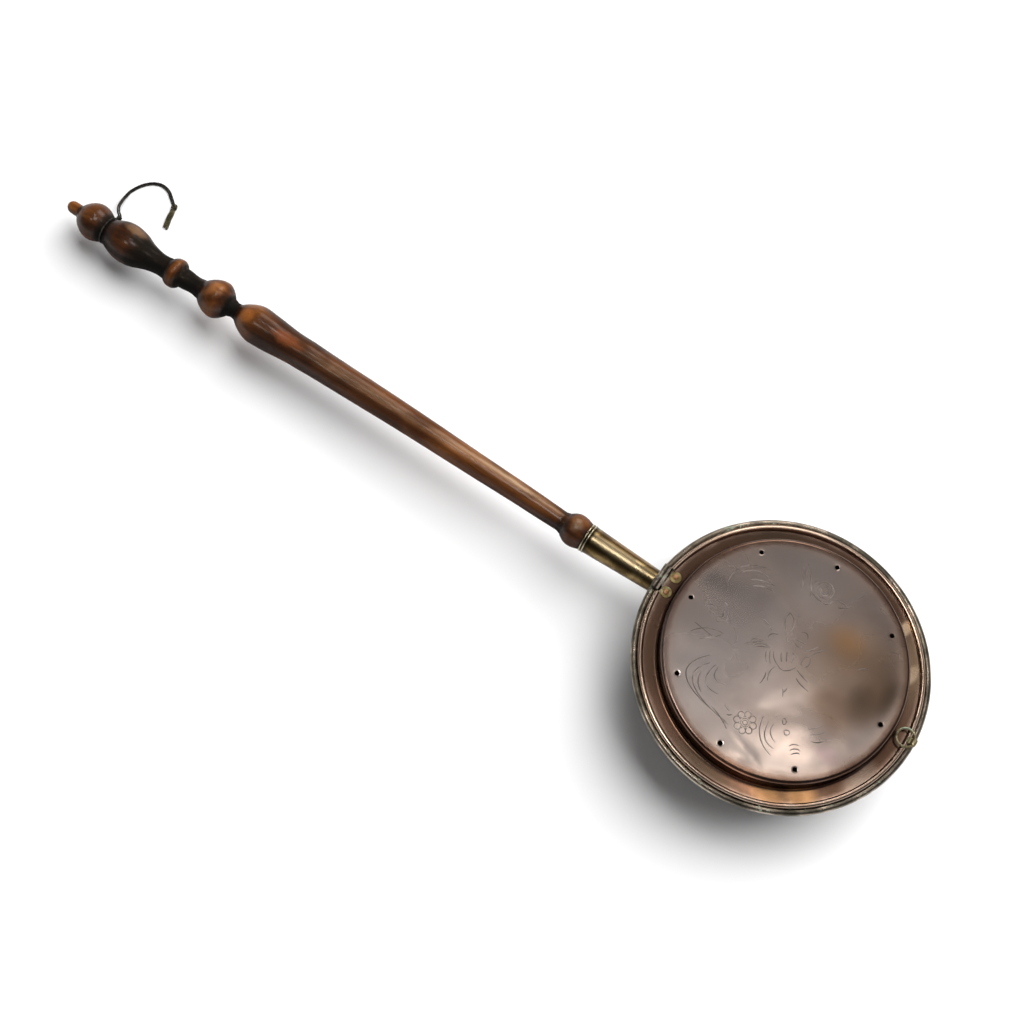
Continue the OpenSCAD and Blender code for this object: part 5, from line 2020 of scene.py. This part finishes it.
    def build(self) -> None:
        """Turns the handle and wears it a little."""
        rings = self.profile()
        chain: Chain = [(self.grip.place(x, 0, 0), r) for x, r in rings]
        piece = self.growers.tubes("turned_handle", [chain], self.sides, self.palette.wood, crease=70)
        self.wear(piece)
        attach(piece, "pan")
        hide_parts("handle")
        LOG.info("turned_handle: %d rings", len(rings))

    def wear(self, piece: Piece) -> None:
        """Makes the handle slightly uneven and stores the tone, painted sheen and polish of each point; the tone
        carries painted shade on the side turned towards +Y.

        Args:
            piece: The handle.
        """
        c, s = self.grip.tilt
        layers = piece.data.attributes
        for name in ("tone", "bare", "polish"):
            layers.new(name, "FLOAT", "POINT")
        tone, bare, polish = layers["tone"], layers["bare"], layers["polish"]
        for i, point in enumerate(piece.data.vertices):
            x, y, z = point.co.x / MM, point.co.y / MM - self.grip.line_y, point.co.z / MM - self.grip.height
            along, up = x * c - z * s, x * s + z * c
            angle, r = math.atan2(up, y), math.hypot(y, up)
            value = table_value(self.tones, along)
            value += 0.1 * noise.noise(Vector((along * 0.02, math.cos(angle) * 1.4, math.sin(angle) * 1.4)))
            # Painted shade: the tone drops on the side turned towards +Y and a little up, away from the key lamp.
            value -= self.painted_shade * max(0.0, math.cos(angle - 0.35))
            tone.data[i].value = value
            # Painted sheen: a band at a set angle round the axis, as strong as its table says, stands in for a broad
            # highlight.
            off = math.degrees(angle) - table_value(self.sheen_side, along)
            off += 5 * noise.noise(Vector((along * 0.03, 0, 5)))
            bare.data[i].value = table_value(self.sheen_strength, along) * math.exp(-(off / self.sheen_half) ** 2)
            polish.data[i].value = self.dull + (1 - self.dull) * ease(0.0, 0.75, up / max(0.1, r))
            if along > self.start:
                point.co.y -= table_value(self.bow, along) * MM
                bend = 0.16 * noise.noise(Vector((along * 0.012, math.cos(angle), math.sin(angle))))
                bend += 0.1 * noise.noise(Vector((along * 0.09, math.cos(angle) * 2, math.sin(angle) * 2)))
                bend += table_value(self.fullness, along) - 0.12 * ease(self.start, self.start + 3, along)
                if r > 2:
                    away = Vector((s * up / r, y / r, c * up / r))
                    point.co += away * bend * MM


# ---- Lifting ring ----


@dataclass
class LiftingRing:
    """Brass ring in a lumpy eye brazed to the lid's edge."""

    palette: Palette
    growers: Growers
    middle: Place = (-142.64, -5.0, 85.35)
    radius: float = 9.7
    wire: float = 1.3
    steps: int = 120
    block: float = 0.00022

    def build(self) -> None:
        """Makes the ring and the eye."""
        chain: Chain = []
        for a in around(self.steps):
            half = self.wire - 0.06 - 0.05 * noise.noise(Vector((math.cos(a) * 3, math.sin(a) * 3, 1)))
            chain.append((Vector((self.middle[0] + self.radius * math.cos(a),
                                  self.middle[1] + self.radius * math.sin(a), self.middle[2])), half))
        ring = self.growers.tubes("brass_lifting_ring", [chain], 20, self.palette.ring, closed=True)
        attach(ring, "lifting_ring")
        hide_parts("lifting_ring")
        self.eye()
        LOG.info("brass_lifting_ring made")

    def eye(self) -> None:
        """Softens a merged copy of the CAD eye into a brazed lump."""
        mesh = cad_piece("ring_lug").data.copy()
        work = bmesh.new()
        work.from_mesh(mesh)
        bmesh.ops.remove_doubles(work, verts=work.verts, dist=1e-6)
        work.to_mesh(mesh)
        work.free()
        lump = bpy.data.objects.new("eye_seed", mesh)
        bpy.context.scene.collection.objects.link(lump)
        blocks = lump.modifiers.new("blocks", "REMESH")
        blocks.mode, blocks.voxel_size = "VOXEL", self.block
        soft = lump.modifiers.new("soft", "SMOOTH")
        soft.factor, soft.iterations = 0.5, 6
        graph = bpy.context.evaluated_depsgraph_get()
        shaped = bpy.data.meshes.new_from_object(lump.evaluated_get(graph), depsgraph=graph)
        bpy.data.objects.remove(lump)
        for point in shaped.vertices:
            point.co -= point.normal * (0.05 + 0.05 * noise.noise(point.co * 700)) * MM
        piece = finished("brazed_eye", shaped, self.palette.ring, 80)
        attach(piece, "lid")
        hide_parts("ring_lug")
        LOG.info("brazed_eye: %d points", len(shaped.vertices))


def main() -> None:
    """Builds the studio and every sub-assembly in order."""
    logging.basicConfig(level=logging.INFO, format="%(name)s: %(message)s")
    grip = Grip()
    effects, growers = Effects(), Growers()
    palette = Palette(effects, grip.slope)
    Studio().build()
    HangingLace(grip, growers, palette).build()
    Pan(palette).build()
    ferrule = Ferrule(grip, palette, growers)
    ferrule.build()
    TurnedHandle(grip, palette, growers, ferrule).build()
    Lid(palette, growers).build()
    LidHinge(palette, growers).build()
    LiftingRing(palette, growers).build()
    bpy.context.view_layer.update()


if __name__ == "__main__":
    main()
